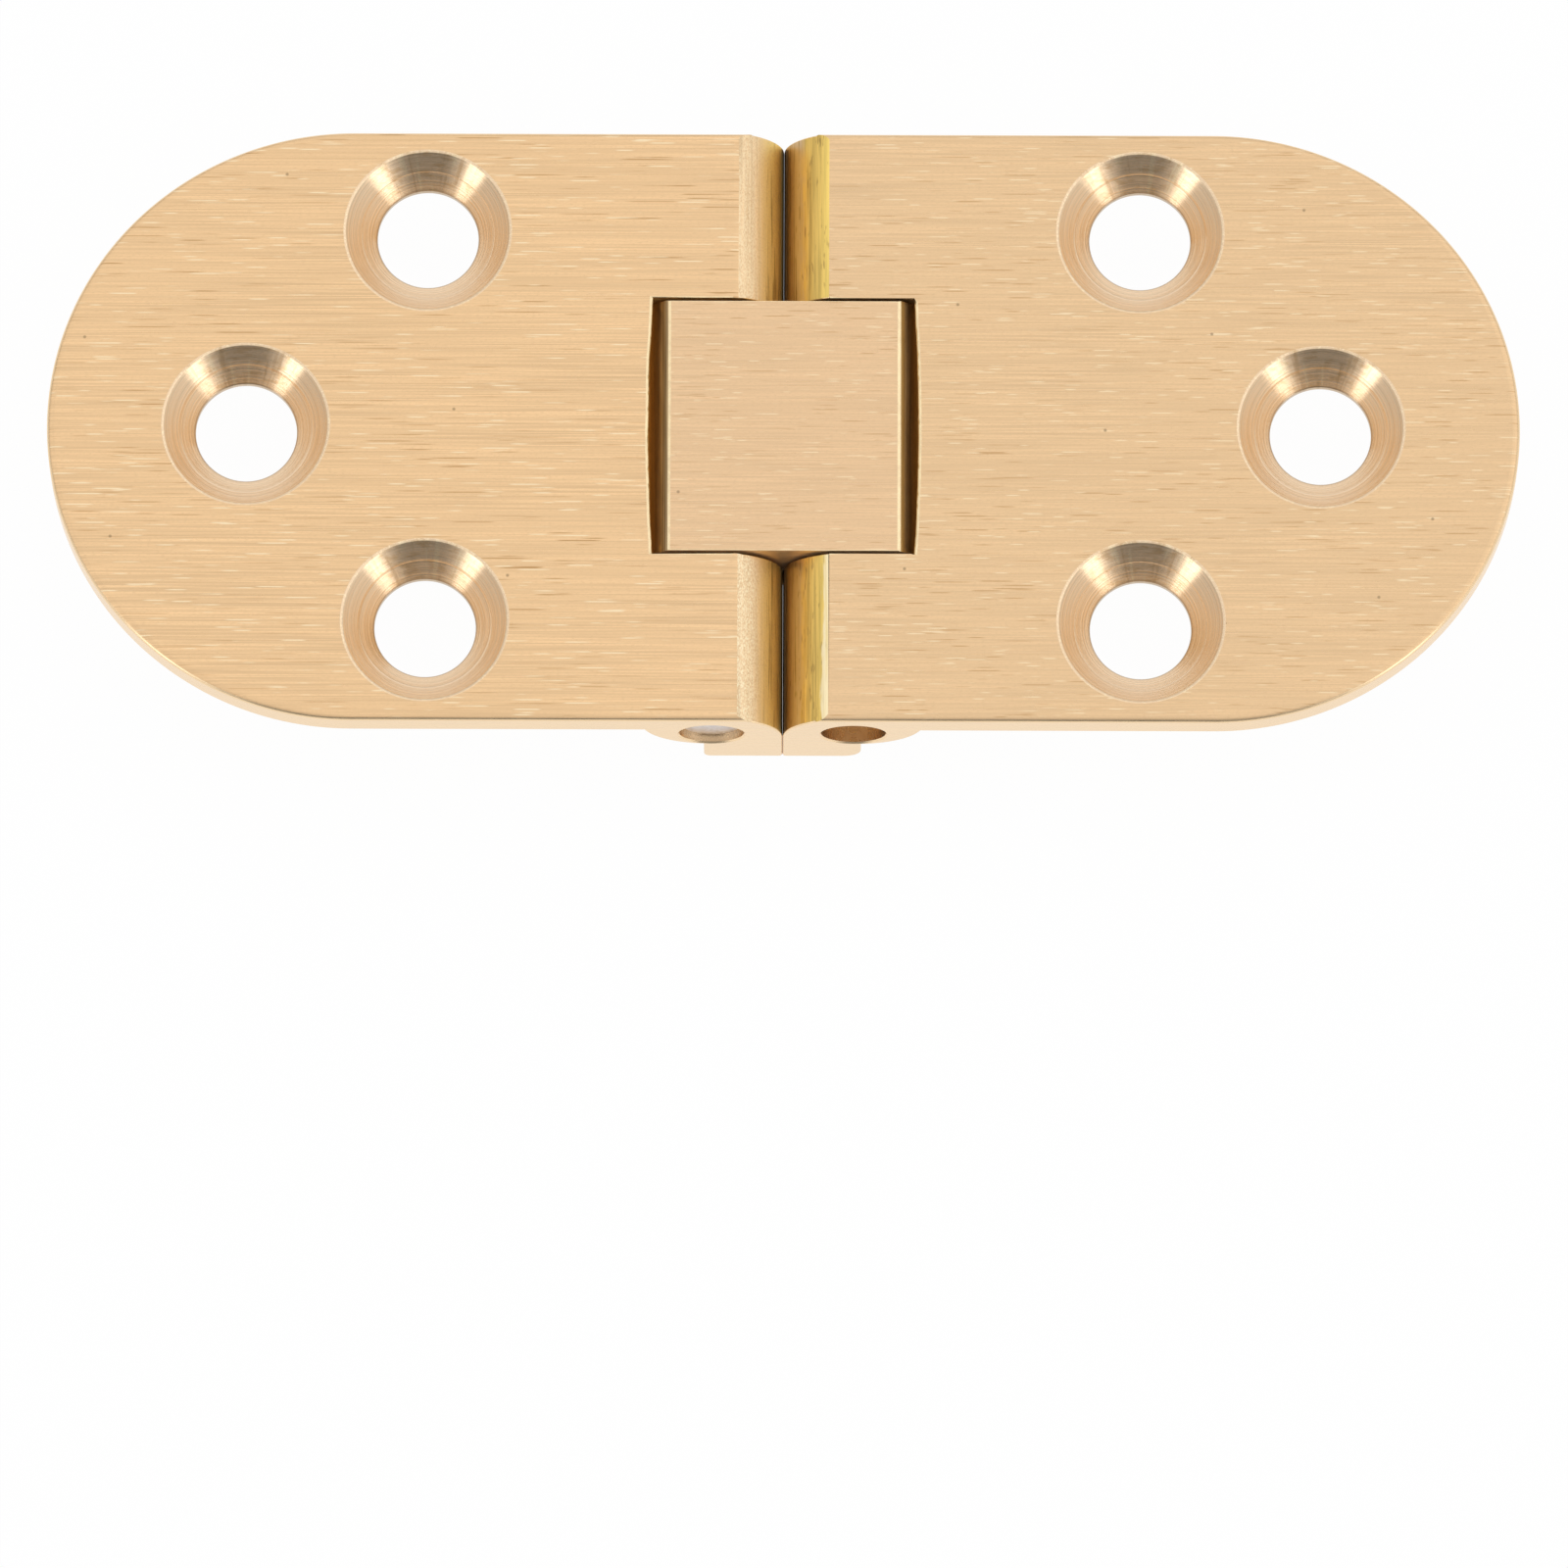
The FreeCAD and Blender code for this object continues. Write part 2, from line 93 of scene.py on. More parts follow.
# %% Arcs, prisms and turned bodies
def arc(centre, radius, start_deg, end_deg, steps):
    """Points of a circular arc, both ends included."""
    angles = np.radians(np.linspace(start_deg, end_deg, steps + 1))
    return [(centre[0] + radius * math.cos(a), centre[1] + radius * math.sin(a)) for a in angles]


def add_object(name, mesh):
    """Put a mesh or a camera into the scene at the origin."""
    piece = bpy.data.objects.new(name, mesh)
    scene.collection.objects.link(piece)
    return piece


def mesh_from(name, work):
    """Mesh with outward faces from a finished bmesh."""
    bmesh.ops.recalc_face_normals(work, faces=work.faces)
    mesh = bpy.data.meshes.new(name)
    work.to_mesh(mesh)
    work.free()
    return mesh


def stacked(name, layers):
    """Closed body through layers with equally many points."""
    work = bmesh.new()
    rings = [[work.verts.new(spot) for spot in layer] for layer in layers]
    work.faces.new(rings[0])
    work.faces.new(rings[-1])
    for first, second in zip(rings, rings[1:]):
        for here in range(len(first)):
            after = (here + 1) % len(first)
            work.faces.new((first[here], first[after], second[after], second[here]))
    return mesh_from(name, work)


def prism(name, outline, low, high, along):
    """An (x, z) outline pushed along y, or an (x, y) one along z."""
    return stacked(name, [[(u, level, v) if along == "y" else (u, v, level) for u, v in outline]
                          for level in (low, high)])


def turned(name, profile, segments, along="z"):
    """Body of revolution from (radius, height) points, from axis to axis."""
    work = bmesh.new()
    turns = np.arange(segments) * 2 * math.pi / segments
    rings = []
    for radius, height in profile:
        around = turns if radius else turns[:1]
        rings.append([work.verts.new((radius * math.cos(a), radius * math.sin(a), height)) for a in around])
    for lower, upper in zip(rings, rings[1:]):
        for here in range(segments):
            after = (here + 1) % segments
            corners = [ring[place % len(ring)] for ring, place in
                       ((lower, here), (lower, after), (upper, after), (upper, here))]
            work.faces.new(list(dict.fromkeys(corners)))
    if along == "y":
        bmesh.ops.rotate(work, verts=work.verts, matrix=Matrix.Rotation(math.pi / 2, 3, "X"))
    return mesh_from(name, work)


# %% [markdown]
# ## The drawn bar
#
# Seen from the front, a leaf is a flat plate whose thick end carries the knuckle. The nose curves down
# beside the parting line, the foot stands below it, and the round boss wraps the pin. The two bars
# differ in the outer corner of the foot and in the fold between show face and nose, rubbed soft on the
# left and crisp on the right.

# %% Section of a leaf
NOSE_STEPS = 30
FOLD_STEPS = 4
FOLD_SOFTNESS = {"left_leaf": 0.30, "right_leaf": 0.10}
BOSS_STEPS = 40
CORNER_STEPS = 8
BAR_OVERHANG = 4.0


def soft_fold(reach, start_deg):
    """Points from the show face into the nose, and the nose's new start."""
    later_deg = start_deg + math.degrees(reach / NOSE_RADIUS)
    onto_nose = arc((PIN_X, NOSE_Z), NOSE_RADIUS, later_deg, later_deg, 0)[0]
    corners = [Vector((NOSE_START + reach, TOP)), Vector((NOSE_START, TOP)), Vector(onto_nose)]
    points = []
    for share in np.linspace(0, 1, FOLD_STEPS + 1)[:-1]:
        first = corners[0].lerp(corners[1], share)
        points.append(tuple(first.lerp(corners[1].lerp(corners[2], share), share)))
    return points, later_deg


def leaf_section(name):
    """Outline of the bar: from the tip over the show face and back below."""
    heel = HEEL_RADIUS[name]
    plate_bottom = TOP - PLATE
    sag = plate_bottom - BOSS_BOTTOM
    boss_radius = (BOSS_REACH ** 2 + sag ** 2) / (2 * sag)
    boss_z = BOSS_BOTTOM + boss_radius
    nose_start_deg = 180 - math.degrees(math.acos((PIN_X - NOSE_START) / NOSE_RADIUS))
    boss_end_deg = math.degrees(math.atan2(plate_bottom - boss_z, BOSS_REACH))
    boss_start_deg = -math.degrees(math.acos((FOOT_LENGTH - PIN_X) / boss_radius))
    tip = LEAF_LENGTH + BAR_OVERHANG
    fold, nose_start_deg = soft_fold(FOLD_SOFTNESS[name], nose_start_deg)
    outline = [(tip, TOP)] + fold
    outline += arc((PIN_X, NOSE_Z), NOSE_RADIUS, nose_start_deg, 180, NOSE_STEPS)
    outline += arc((HALF_GAP + TOE_RADIUS, TOE_RADIUS), TOE_RADIUS, 180, 270, CORNER_STEPS)
    outline += arc((FOOT_LENGTH - heel, heel), heel, 270, 360, CORNER_STEPS)
    outline += arc((PIN_X, boss_z), boss_radius, boss_start_deg, boss_end_deg, BOSS_STEPS)
    outline.append((tip, plate_bottom))
    return outline


for leaf_name in HEEL_RADIUS:
    print(leaf_name, "section has", len(leaf_section(leaf_name)), "points")

# %% [markdown]
# ## The cutting tools
#
# Five cuts make the leaf: the half-round end, the slot for the link, the round hollow that the link
# turns in, the pin bore and three countersunk screw holes. The slot was broached, so its end is bowed
# and slightly wavy, and a fixed noise gives the same waves on every run. The countersink has a softened
# mouth and a fine ring halfway down, where the pilot drill met the cone.

# %% Cutters for the five cuts
REACH = 20.0
END_STEPS = 112
SLOT_STEPS = 64
ROUND_STEPS = 96
SCREW_STEPS = 128
WAVE_HEIGHT = {"left_leaf": 0.05, "right_leaf": 0.035}
RIM_ROLL = 0.45
RIM_DROP = 0.34
ROLL_STEPS = 6
MOUTH_STEPS = ((0.03, -0.012), (-0.03, -0.045), (-0.07, -0.07))
RING_RADIUS = 3.6
RING_DEPTH = 0.015
BORE_LIP = 0.09
WAVE_SEED = {"left_leaf": 3.0, "right_leaf": 11.0}
WAVES = ((0.45, 1.0, 0), (1.9, 0.5, 5))
WAVE_FADE = 0.6
RIM_TURN_DEG = 82
TOOL_SHANK = ((0, 1.0), (5.1, 1.0), (5.1, 0.1))
RING_LIPS = (0.06, -0.05)
BORE_EASE = (0.02, 0.03)


def end_plan(half_width):
    """Plan of the leaf: square at the knuckle, half round at the tip."""
    round_end = arc((END_CENTRE, 0), half_width, -90, 90, END_STEPS)
    return [(-REACH, -half_width), *round_end, (-REACH, half_width)]


def end_tool():
    """Body with the leaf's plan that rolls in towards the show face."""
    levels = [(-REACH, HALF_WIDTH)]
    for lean in np.radians(np.linspace(0, RIM_TURN_DEG, ROLL_STEPS + 1)):
        inset = RIM_ROLL * (1 - math.cos(lean))
        levels.append((TOP - RIM_DROP * (1 - math.sin(lean)), HALF_WIDTH - inset))
    levels.append((TOP + RIM_DROP, HALF_WIDTH - 3 * RIM_ROLL))
    return stacked("end_tool", [[(x, y, z) for x, y in end_plan(half)] for z, half in levels])


def slot_tool(name):
    """Slot with a bowed end that wanders a little."""
    seed = WAVE_SEED[name]
    bow_radius = (SLOT_HALF_WIDTH ** 2 + SLOT_BOW ** 2) / (2 * SLOT_BOW)
    outline = [(-REACH, -SLOT_HALF_WIDTH)]
    for y in np.linspace(-SLOT_HALF_WIDTH, SLOT_HALF_WIDTH, SLOT_STEPS + 1):
        bow = SLOT_REACH + SLOT_BOW - bow_radius + math.sqrt(bow_radius ** 2 - y ** 2)
        wave = sum(share * noise.noise((y * pitch, seed, level)) for pitch, share, level in WAVES)
        fade = min(1.0, (SLOT_HALF_WIDTH - abs(y)) / WAVE_FADE)
        outline.append((bow + WAVE_HEIGHT[name] * wave * fade, y))
    outline.append((-REACH, SLOT_HALF_WIDTH))
    return prism("slot_tool", outline, -REACH, REACH, "z")


def hollow_tool():
    """Round hollow about the pin, as wide as the slot."""
    outline = arc((PIN_X, PIN_Z), HOLLOW_RADIUS, 0, 360, ROUND_STEPS)[:-1]
    return prism("hollow_tool", outline, -SLOT_HALF_WIDTH, SLOT_HALF_WIDTH, "y")


def bore_tool():
    """Pin bore with a softened lip at both mouths."""
    flare = PIN_RADIUS + 2 * BORE_LIP
    profile = [(0, -REACH), (flare, -REACH), (flare, -HALF_WIDTH - BORE_LIP)]
    profile += [(PIN_RADIUS, BORE_LIP - HALF_WIDTH)]
    profile += [(radius, -height) for radius, height in reversed(profile)]
    mesh = turned("bore_tool", profile, ROUND_STEPS, "y")
    mesh.transform(Matrix.Translation((PIN_X, 0, PIN_Z)))
    return mesh


def countersink_tool():
    """Countersink about z with its mouth at z = 0."""
    groove = RING_DEPTH / math.sqrt(2)
    cone = SCREW_MOUTH - RING_RADIUS
    profile = list(TOOL_SHANK)
    profile += [(SCREW_MOUTH + outward, height) for outward, height in MOUTH_STEPS]
    ring = ((RING_LIPS[0], RING_LIPS[0]), (groove, -groove), (RING_LIPS[1], RING_LIPS[1]))
    profile += [(RING_RADIUS + outward, height - cone) for outward, height in ring]
    profile += [(SCREW_BORE + BORE_EASE[0], SCREW_BORE + BORE_EASE[0] - SCREW_MOUTH)]
    profile += [(SCREW_BORE, SCREW_BORE - SCREW_MOUTH - BORE_EASE[1]), (SCREW_BORE, -REACH), (0, -REACH)]
    return turned("countersink_tool", profile, SCREW_STEPS)


print("countersink tool has", len(countersink_tool().polygons), "faces")

# %% [markdown]
# ## Milling a leaf with Geometry Nodes
#
# The cuts are Boolean operations that both leaves share, so one node tree does the milling. The screw
# holes repeat, so the tree sets out their centres, puts the countersink tool on each and cuts all three
# at once. It ends by making the instances real and giving them a metal. Short helpers add the nodes. A
# socket knows its own tree, so most helpers need only sockets.

# %% Node helpers and the milling tree
TOOLS = ("End tool", "Slot tool", "Hollow tool", "Bore tool", "Countersink tool")


def wire(node, inputs):
    """Set a node's inputs, by name or number, to values or sockets."""
    for label, value in inputs.items():
        if isinstance(value, bpy.types.NodeSocket):
            node.id_data.links.new(value, node.inputs[label])
        else:
            node.inputs[label].default_value = value


def add(owner, kind, inputs=None, **settings):
    """Outputs of a new node; the owner is its tree or anything in that tree."""
    node = owner.id_data.nodes.new(kind)
    for label, value in settings.items():
        setattr(node, label, value)
    wire(node, inputs or {})
    return node.outputs


def joined(operation, first, second=0.0):
    """One arithmetic step between two sockets or numbers."""
    return add(first, "ShaderNodeMath", {0: first, 1: second}, operation=operation)["Value"]


def times(first, second):
    """Product of two sockets or numbers."""
    return joined("MULTIPLY", first, second)


def joined_vector(x, y=None, z=None):
    """Vector from up to three sockets; the rest are zero."""
    parts = {label: socket for label, socket in zip("XYZ", (x, y, z)) if socket is not None}
    return add(x, "ShaderNodeCombineXYZ", parts)["Vector"]


def new_tree(name, tools, sizes):
    """Geometry node group with inputs for geometry, tools, sizes and a metal."""
    tree = bpy.data.node_groups.new(name, "GeometryNodeTree")
    tree.interface.new_socket("Geometry", in_out="OUTPUT", socket_type="NodeSocketGeometry")
    kinds = {"Geometry": ["Geometry"], "Object": tools, "Float": sizes, "Material": ["Metal"]}
    for kind, labels in kinds.items():
        for label in labels:
            tree.interface.new_socket(label, in_out="INPUT", socket_type="NodeSocket" + kind)
    return tree, tree.nodes.new("NodeGroupInput").outputs


def tool_from(given, label):
    """Geometry of an object from a named input."""
    return add(given[label], "GeometryNodeObjectInfo", {"Object": given[label]})["Geometry"]


def boolean(operation, stock, tools):
    """Exact Boolean of the stock with one or more tools."""
    first = "Mesh 1" if operation == "DIFFERENCE" else "Mesh 2"
    cut = add(stock, "GeometryNodeMeshBoolean", {first: stock}, operation=operation, solver="EXACT")["Mesh"]
    for tool in tools:
        wire(cut.node, {"Mesh 2": tool})
    return cut


def real(instances):
    """Instances made into real geometry."""
    return add(instances, "GeometryNodeRealizeInstances", {"Geometry": instances})["Geometry"]


def set_on(points, tool):
    """A copy of the tool on each point."""
    seats = add(points, "GeometryNodeInstanceOnPoints", {"Points": points, "Instance": tool})
    return real(seats["Instances"])


def end_tree(given, shape):
    """Make everything real, give it the metal and hand it out."""
    paint = add(shape, "GeometryNodeSetMaterial", {"Geometry": real(shape), "Material": given["Metal"]})
    add(shape, "NodeGroupOutput", {"Geometry": paint["Geometry"]})
    return shape.id_data


def milling_tree():
    """Tree that makes all the cuts in a drawn bar."""
    tree, given = new_tree("mill_a_leaf", TOOLS, ("End screw", "Screw row", "Screw side", "Show face"))
    end, *through, countersink = [tool_from(given, label) for label in TOOLS]
    shape = boolean("INTERSECT", given["Geometry"], [end])
    for tool in through:
        shape = boolean("DIFFERENCE", shape, [tool])
    top = given["Show face"]
    single = add(tree, "GeometryNodePoints", {"Position": joined_vector(given["End screw"], None, top)})
    sides = (given["Screw side"], times(given["Screw side"], -1.0))
    start, end = (joined_vector(given["Screw row"], side, top) for side in sides)
    pair = add(tree, "GeometryNodeMeshLine", {"Count": 2, "Start Location": start, "Offset": end},
               mode="END_POINTS")
    holes = [set_on(spots, countersink) for spots in (single["Points"], pair["Mesh"])]
    return end_tree(given, boolean("DIFFERENCE", shape, holes))


MILLING = milling_tree()
print("milling tree has", len(MILLING.nodes), "nodes")

# %% [markdown]
# A modifier keeps its inputs under the sockets' identifiers, so a helper looks these up by name. The
# result becomes a plain mesh and the modifier goes, because the hand-in holds plain meshes.

# %% Running a tree and freezing the result
def frozen(piece, name):
    """Plain mesh of the piece with its modifiers worked in and removed."""
    bpy.context.view_layer.update()
    depsgraph = bpy.context.evaluated_depsgraph_get()
    mesh = bpy.data.meshes.new_from_object(piece.evaluated_get(depsgraph), depsgraph=depsgraph)
    mesh.name = name
    piece.modifiers.clear()
    old, piece.data = piece.data, mesh
    bpy.data.meshes.remove(old)
    return mesh


def run_tree(piece, name, tree, tools, sizes):
    """Work a tree into a piece and clear its tools away."""
    modifier = piece.modifiers.new(tree.name, "NODES")
    modifier.node_group = tree
    places = {item.name: item.identifier for item in tree.interface.items_tree if item.in_out == "INPUT"}
    for label, value in {**tools, **sizes}.items():
        modifier[places[label]] = value
    frozen(piece, name)
    for tool in tools.values():
        bpy.data.objects.remove(tool)


def milled(name):
    """Leaf cut from its bar, in millimetres and on the right-hand side."""
    reach = HALF_WIDTH + BAR_OVERHANG
    leaf = add_object(name + "_blank", prism(name, leaf_section(name), -reach, reach, "y"))
    meshes = (end_tool(), slot_tool(name), hollow_tool(), bore_tool(), countersink_tool())
    tools = {label: add_object(label, mesh) for label, mesh in zip(TOOLS, meshes)}
    (end_x, _), (row_x, row_y), _ = SCREWS
    run_tree(leaf, name, MILLING, tools,
             {"End screw": end_x, "Screw row": row_x, "Screw side": row_y, "Show face": TOP})
    return leaf


leaves = {name: milled(name) for name in HEEL_RADIUS}
for name, leaf in leaves.items():
    print(name, "cut:", len(leaf.data.vertices), "points,", len(leaf.data.polygons), "faces")

# %% [markdown]
# ## Broken edges
#
# No edge on the real hinge is sharp: the outline was tumbled and the slot was deburred. One Bevel
# modifier rounds them all, with a weight for each kind of edge.

# %% Weighted bevels
BEVEL = 0.18
BEVEL_STEPS = 4
WEIGHT_LAYER = "bevel_weight_edge"
EDGE_WEIGHT = {"rim": 0.65, "slot": 0.4, "slot_end": 1.0}
CLOSE = 0.002
SHARP_DEG = 18.0


def leaf_edge(edge):
    """Bevel weight of one sharp edge of a milled leaf."""
    a, b = (vert.co for vert in edge.verts)
    middle = (a + b) / 2
    on_side = all(abs(abs(co.y) - HALF_WIDTH) < CLOSE for co in (a, b))
    from_pin = math.hypot(middle.x - PIN_X, middle.z - PIN_Z)
    below_roll = middle.z < TOP - RIM_DROP
    if on_side and below_roll and from_pin > PIN_RADIUS + 0.2:
        return EDGE_WEIGHT["rim"]
    on_end = all(abs(math.hypot(co.x - END_CENTRE, co.y) - HALF_WIDTH) < CLOSE for co in (a, b))
    if on_end and below_roll and middle.x > END_CENTRE and abs(a.z - b.z) < CLOSE:
        return EDGE_WEIGHT["rim"]
    on_wall = all(abs(abs(co.y) - SLOT_HALF_WIDTH) < CLOSE for co in (a, b))
    upright = any(abs(face.normal.y) > 0.99 for face in edge.link_faces)
    if on_wall and upright and middle.z > NOSE_Z and from_pin > HOLLOW_RADIUS - 1:
        over_nose = math.hypot(middle.x - PIN_X, middle.z - NOSE_Z) > NOSE_RADIUS - 0.02
        if middle.z > TOP - CLOSE or (over_nose and middle.x < NOSE_START):
            return EDGE_WEIGHT["slot"]
    at_top = all(co.z > TOP - CLOSE for co in (a, b))
    if at_top and abs(middle.y) < SLOT_HALF_WIDTH and SLOT_REACH - 0.2 < middle.x < SLOT_REACH + 1:
        return EDGE_WEIGHT["slot_end"]
    return 0.0


def weigh_edges(mesh, weight_of):
    """Clean a mesh, weigh its edges and count those to round."""
    work = bmesh.new()
    work.from_mesh(mesh)
    bmesh.ops.remove_doubles(work, verts=work.verts, dist=1e-5)
    bmesh.ops.dissolve_limit(work, angle_limit=math.radians(0.05), verts=work.verts, edges=work.edges)
    work.normal_update()
    layers = work.edges.layers.float
    layer = layers.get(WEIGHT_LAYER) or layers.new(WEIGHT_LAYER)
    count = 0
    for edge in work.edges:
        sharp = len(edge.link_faces) == 2 and edge.calc_face_angle(0) >= math.radians(SHARP_DEG)
        edge[layer] = weight_of(edge) if sharp else 0.0
        count += edge[layer] > 0
    work.to_mesh(mesh)
    work.free()
    return count


def round_edges(piece, width):
    """Round the weighted edges of a piece."""
    bevel = piece.modifiers.new("broken_edges", "BEVEL")
    bevel.limit_method = "WEIGHT"
    bevel.width = width
    bevel.segments = BEVEL_STEPS
    bevel.use_clamp_overlap = False
    bevel.loop_slide = True
    frozen(piece, piece.name)


for name, leaf in leaves.items():
    picked = weigh_edges(leaf.data, leaf_edge)
    round_edges(leaf, BEVEL)
    print(name, "rounded", picked, "edges, now", len(leaf.data.polygons), "faces")

# %% [markdown]
# ## The link and the pins
#
# The link is a short bar with a flat top and round ends about both pins, drilled by the same kind of
# tree. The pins are turned: a plain rod with bevelled ends and the faint dome of a cropped end.

# %% Link and pins
PIN_BEVEL = 0.25
PIN_DOME = 0.04
PIN_STEPS = 64
LINK_BORE = 1.8
LINK_STEPS = 48
LINK_EDGE = 0.17
LINK_EDGE_WEIGHT = {"left": 1.0, "right": 0.6, "side": 0.4}
PIN_ENDS = {"left_pin": (-16.2, 15.0), "right_pin": (-15.0, 16.2)}


def link_tree():
    """Tree that drills a bore on each of two points."""
    tree, given = new_tree("drill_the_link", ["Bore tool"], ["Pin spacing", "Pin height"])
    spacing = given["Pin spacing"]
    start = joined_vector(times(spacing, -0.5), None, given["Pin height"])
    pair = add(tree, "GeometryNodeMeshLine",
               {"Count": 2, "Start Location": start, "Offset": joined_vector(spacing)})
    bores = set_on(pair["Mesh"], tool_from(given, "Bore tool"))
    return end_tree(given, boolean("DIFFERENCE", given["Geometry"], [bores]))


def make_link():
    """Link bar with round ends, two bores and broken edges."""
    start = math.degrees(math.asin((TOP - PIN_Z) / LINK_RADIUS))
    outline = arc((PIN_X, PIN_Z), LINK_RADIUS, start, -90, LINK_STEPS)
    outline += arc((-PIN_X, PIN_Z), LINK_RADIUS, -90, -180 - start, LINK_STEPS)
    bar = prism("centre_link", outline, -LINK_HALF_WIDTH, LINK_HALF_WIDTH, "y")
    piece = add_object("centre_link_blank", bar)
    bore = [(0, -REACH), (LINK_BORE, -REACH), (LINK_BORE, REACH), (0, REACH)]
    tool = add_object("link_bore_tool", turned("link_bore_tool", bore, ROUND_STEPS, "y"))
    run_tree(piece, "centre_link", link_tree(), {"Bore tool": tool},
             {"Pin spacing": 2 * PIN_X, "Pin height": PIN_Z})
    weigh_edges(piece.data, link_edge)
    round_edges(piece, LINK_EDGE)
    return piece


def link_edge(edge):
    """Bevel weight of one sharp edge of the link."""
    if any(vert.co.z < TOP - CLOSE for vert in edge.verts):
        return 0.0
    across = [vert.co.x for vert in edge.verts]
    if abs(across[0] - across[1]) > CLOSE:
        return LINK_EDGE_WEIGHT["side"]
    return LINK_EDGE_WEIGHT["left" if across[0] < 0 else "right"]


def make_pin(name):
    """Pin turned about y between its two ends."""
    low, high = PIN_ENDS[name]
    inner = PIN_RADIUS - PIN_BEVEL
    half = [(0, 0), (inner * 0.6, 0.2 * PIN_DOME), (inner, PIN_DOME), (PIN_RADIUS, PIN_BEVEL)]
    profile = [(radius, -high + height) for radius, height in half]
    profile += [(radius, -low - height) for radius, height in reversed(half)]
    mesh = turned(name, profile, PIN_STEPS, "y")
    side = -1 if name == "left_pin" else 1
    mesh.transform(Matrix.Translation((side * PIN_X, 0, PIN_Z)))
    return add_object(name + "_dressed", mesh)


centre_link = make_link()
pins = {name: make_pin(name) for name in PIN_ENDS}
print("link has", len(centre_link.data.polygons), "faces, each pin", len(pins["left_pin"].data.polygons))

# %% [markdown]
# ## Which surface is which
#
# The same brass looks different where a different tool last touched it. Each face is sorted by where it
# lies and which way it looks, and each sort gets a material slot. The turned rings run round each hole,
# so the points store their offset from the nearest one.

# %% Sorting the faces
SURFACES = ("show", "nose", "countersink", "edge", "slot", "under", "burr")
LINK_SURFACES = ("show", "flank", "side", "left_shoulder", "right_shoulder", "burr")
SHOULDER = 0.26
HOLE_SHIFT = 10.0
LEVEL = 0.9995
FOLD_REACH = 0.3


def leaf_surface(centre, normal):
    """Finish of one face of a leaf drawn on the right-hand side."""
    hole = min(math.hypot(centre.x - x, centre.y - y) for x, y in SCREWS)
    if hole < SCREW_MOUTH + 0.12 and normal.z < LEVEL and centre.z < TOP - 1e-4 and normal.z > -0.5:
        return "countersink"
    outline = abs(centre.y) > HALF_WIDTH - RIM_ROLL
    from_end = math.hypot(centre.x - END_CENTRE, centre.y)
    round_end = centre.x > END_CENTRE and from_end > HALF_WIDTH - RIM_ROLL
    flat = normal.z > LEVEL and centre.z > TOP - 2 * RIM_DROP
    past_fold = centre.x - NOSE_START
    in_fold = 0 < past_fold < FOLD_REACH and normal.z > 0.95 and abs(normal.y) < 0.05
    on_roll = (outline or round_end) and past_fold > FOLD_REACH and normal.z > 0.8
    if flat or (in_fold or on_roll) and centre.z > TOP - RIM_DROP:
        return "show"
    from_nose = math.hypot(centre.x - PIN_X, centre.z - NOSE_Z)
    in_nose = centre.x < NOSE_START + 0.2 and centre.z > NOSE_Z - 0.02 and abs(normal.y) < 0.3
    if in_nose and from_nose > NOSE_RADIUS - 0.1:
        return "nose"
    if abs(centre.y) < SLOT_HALF_WIDTH + BEVEL and centre.x < SLOT_REACH + 1.2:
        broken = centre.z > TOP - BEVEL and normal.z > 0.3
        return "burr" if broken else "slot"
    if outline or round_end or normal.z > 0.1:
        return "edge"
    return "under"


def link_surface(centre, normal):
    """Finish of one face of the link."""
    if normal.z > 0.999:
        return "show"
    if abs(normal.y) > 0.3:
        return "side"
    if centre.z <= TOP - SHOULDER:
        return "flank"
    side, burr_from = ("left", 0.93) if centre.x < 0 else ("right", 0.8)
    return "burr" if normal.z > burr_from else side + "_shoulder"


def sort_faces(mesh, surfaces, surface_of):
    """Give every face the material slot of its finish and count the faces of each."""
    picks = [surfaces.index(surface_of(face.center, face.normal)) for face in mesh.polygons]
    mesh.materials.clear()
    for surface in surfaces:
        mesh.materials.append(None)
    mesh.polygons.foreach_set("material_index", picks)
    return {surface: picks.count(place) for place, surface in enumerate(surfaces)}


def store_offsets(mesh, side):
    """Store the offset from the nearest hole; the side is -1 for the leaf that is turned later."""
    places = np.array([vert.co[:2] for vert in mesh.vertices], np.float32)
    offsets = np.stack([places - np.array(spot, np.float32) for spot in SCREWS])
    nearest = np.linalg.norm(offsets, axis=2).argmin(axis=0)
    chosen = offsets[nearest, np.arange(len(places))]
    attribute = mesh.attributes.new("hole_offset", "FLOAT_VECTOR", "POINT")
    stored = np.column_stack([side * chosen, nearest * HOLE_SHIFT])
    attribute.data.foreach_set("vector", stored.astype(np.float32).ravel())


for name, leaf in leaves.items():
    print(name, sort_faces(leaf.data, SURFACES, leaf_surface))
    store_offsets(leaf.data, -1 if name == "left_leaf" else 1)
print("link", sort_faces(centre_link.data, LINK_SURFACES, link_surface))
for pin in pins.values():
    sort_faces(pin.data, ("steel",), lambda centre, normal: "steel")

# %% [markdown]
# ## Brass
#
# All the brass shares one recipe: a metal whose colour is its reflection, with marks from the last
# tool. The marks are noise drawn out along one direction. They tint the colour, change the roughness
# and raise a shallow bump. What differs is the direction, the scale and the tint.

# %% Shader helpers
def blank_metal(name):
    """New metal: the material, its shader and the place on the object."""
    material = bpy.data.materials.new(name)
    material.use_nodes = True
    shader = material.node_tree.nodes["Principled BSDF"]
    wire(shader, {"Metallic": 1.0})
    return material, shader, add(shader, "ShaderNodeTexCoord")["Object"]


def split(vector):
    """Sockets of the three parts of a vector."""
    return add(vector, "ShaderNodeSeparateXYZ", {"Vector": vector})


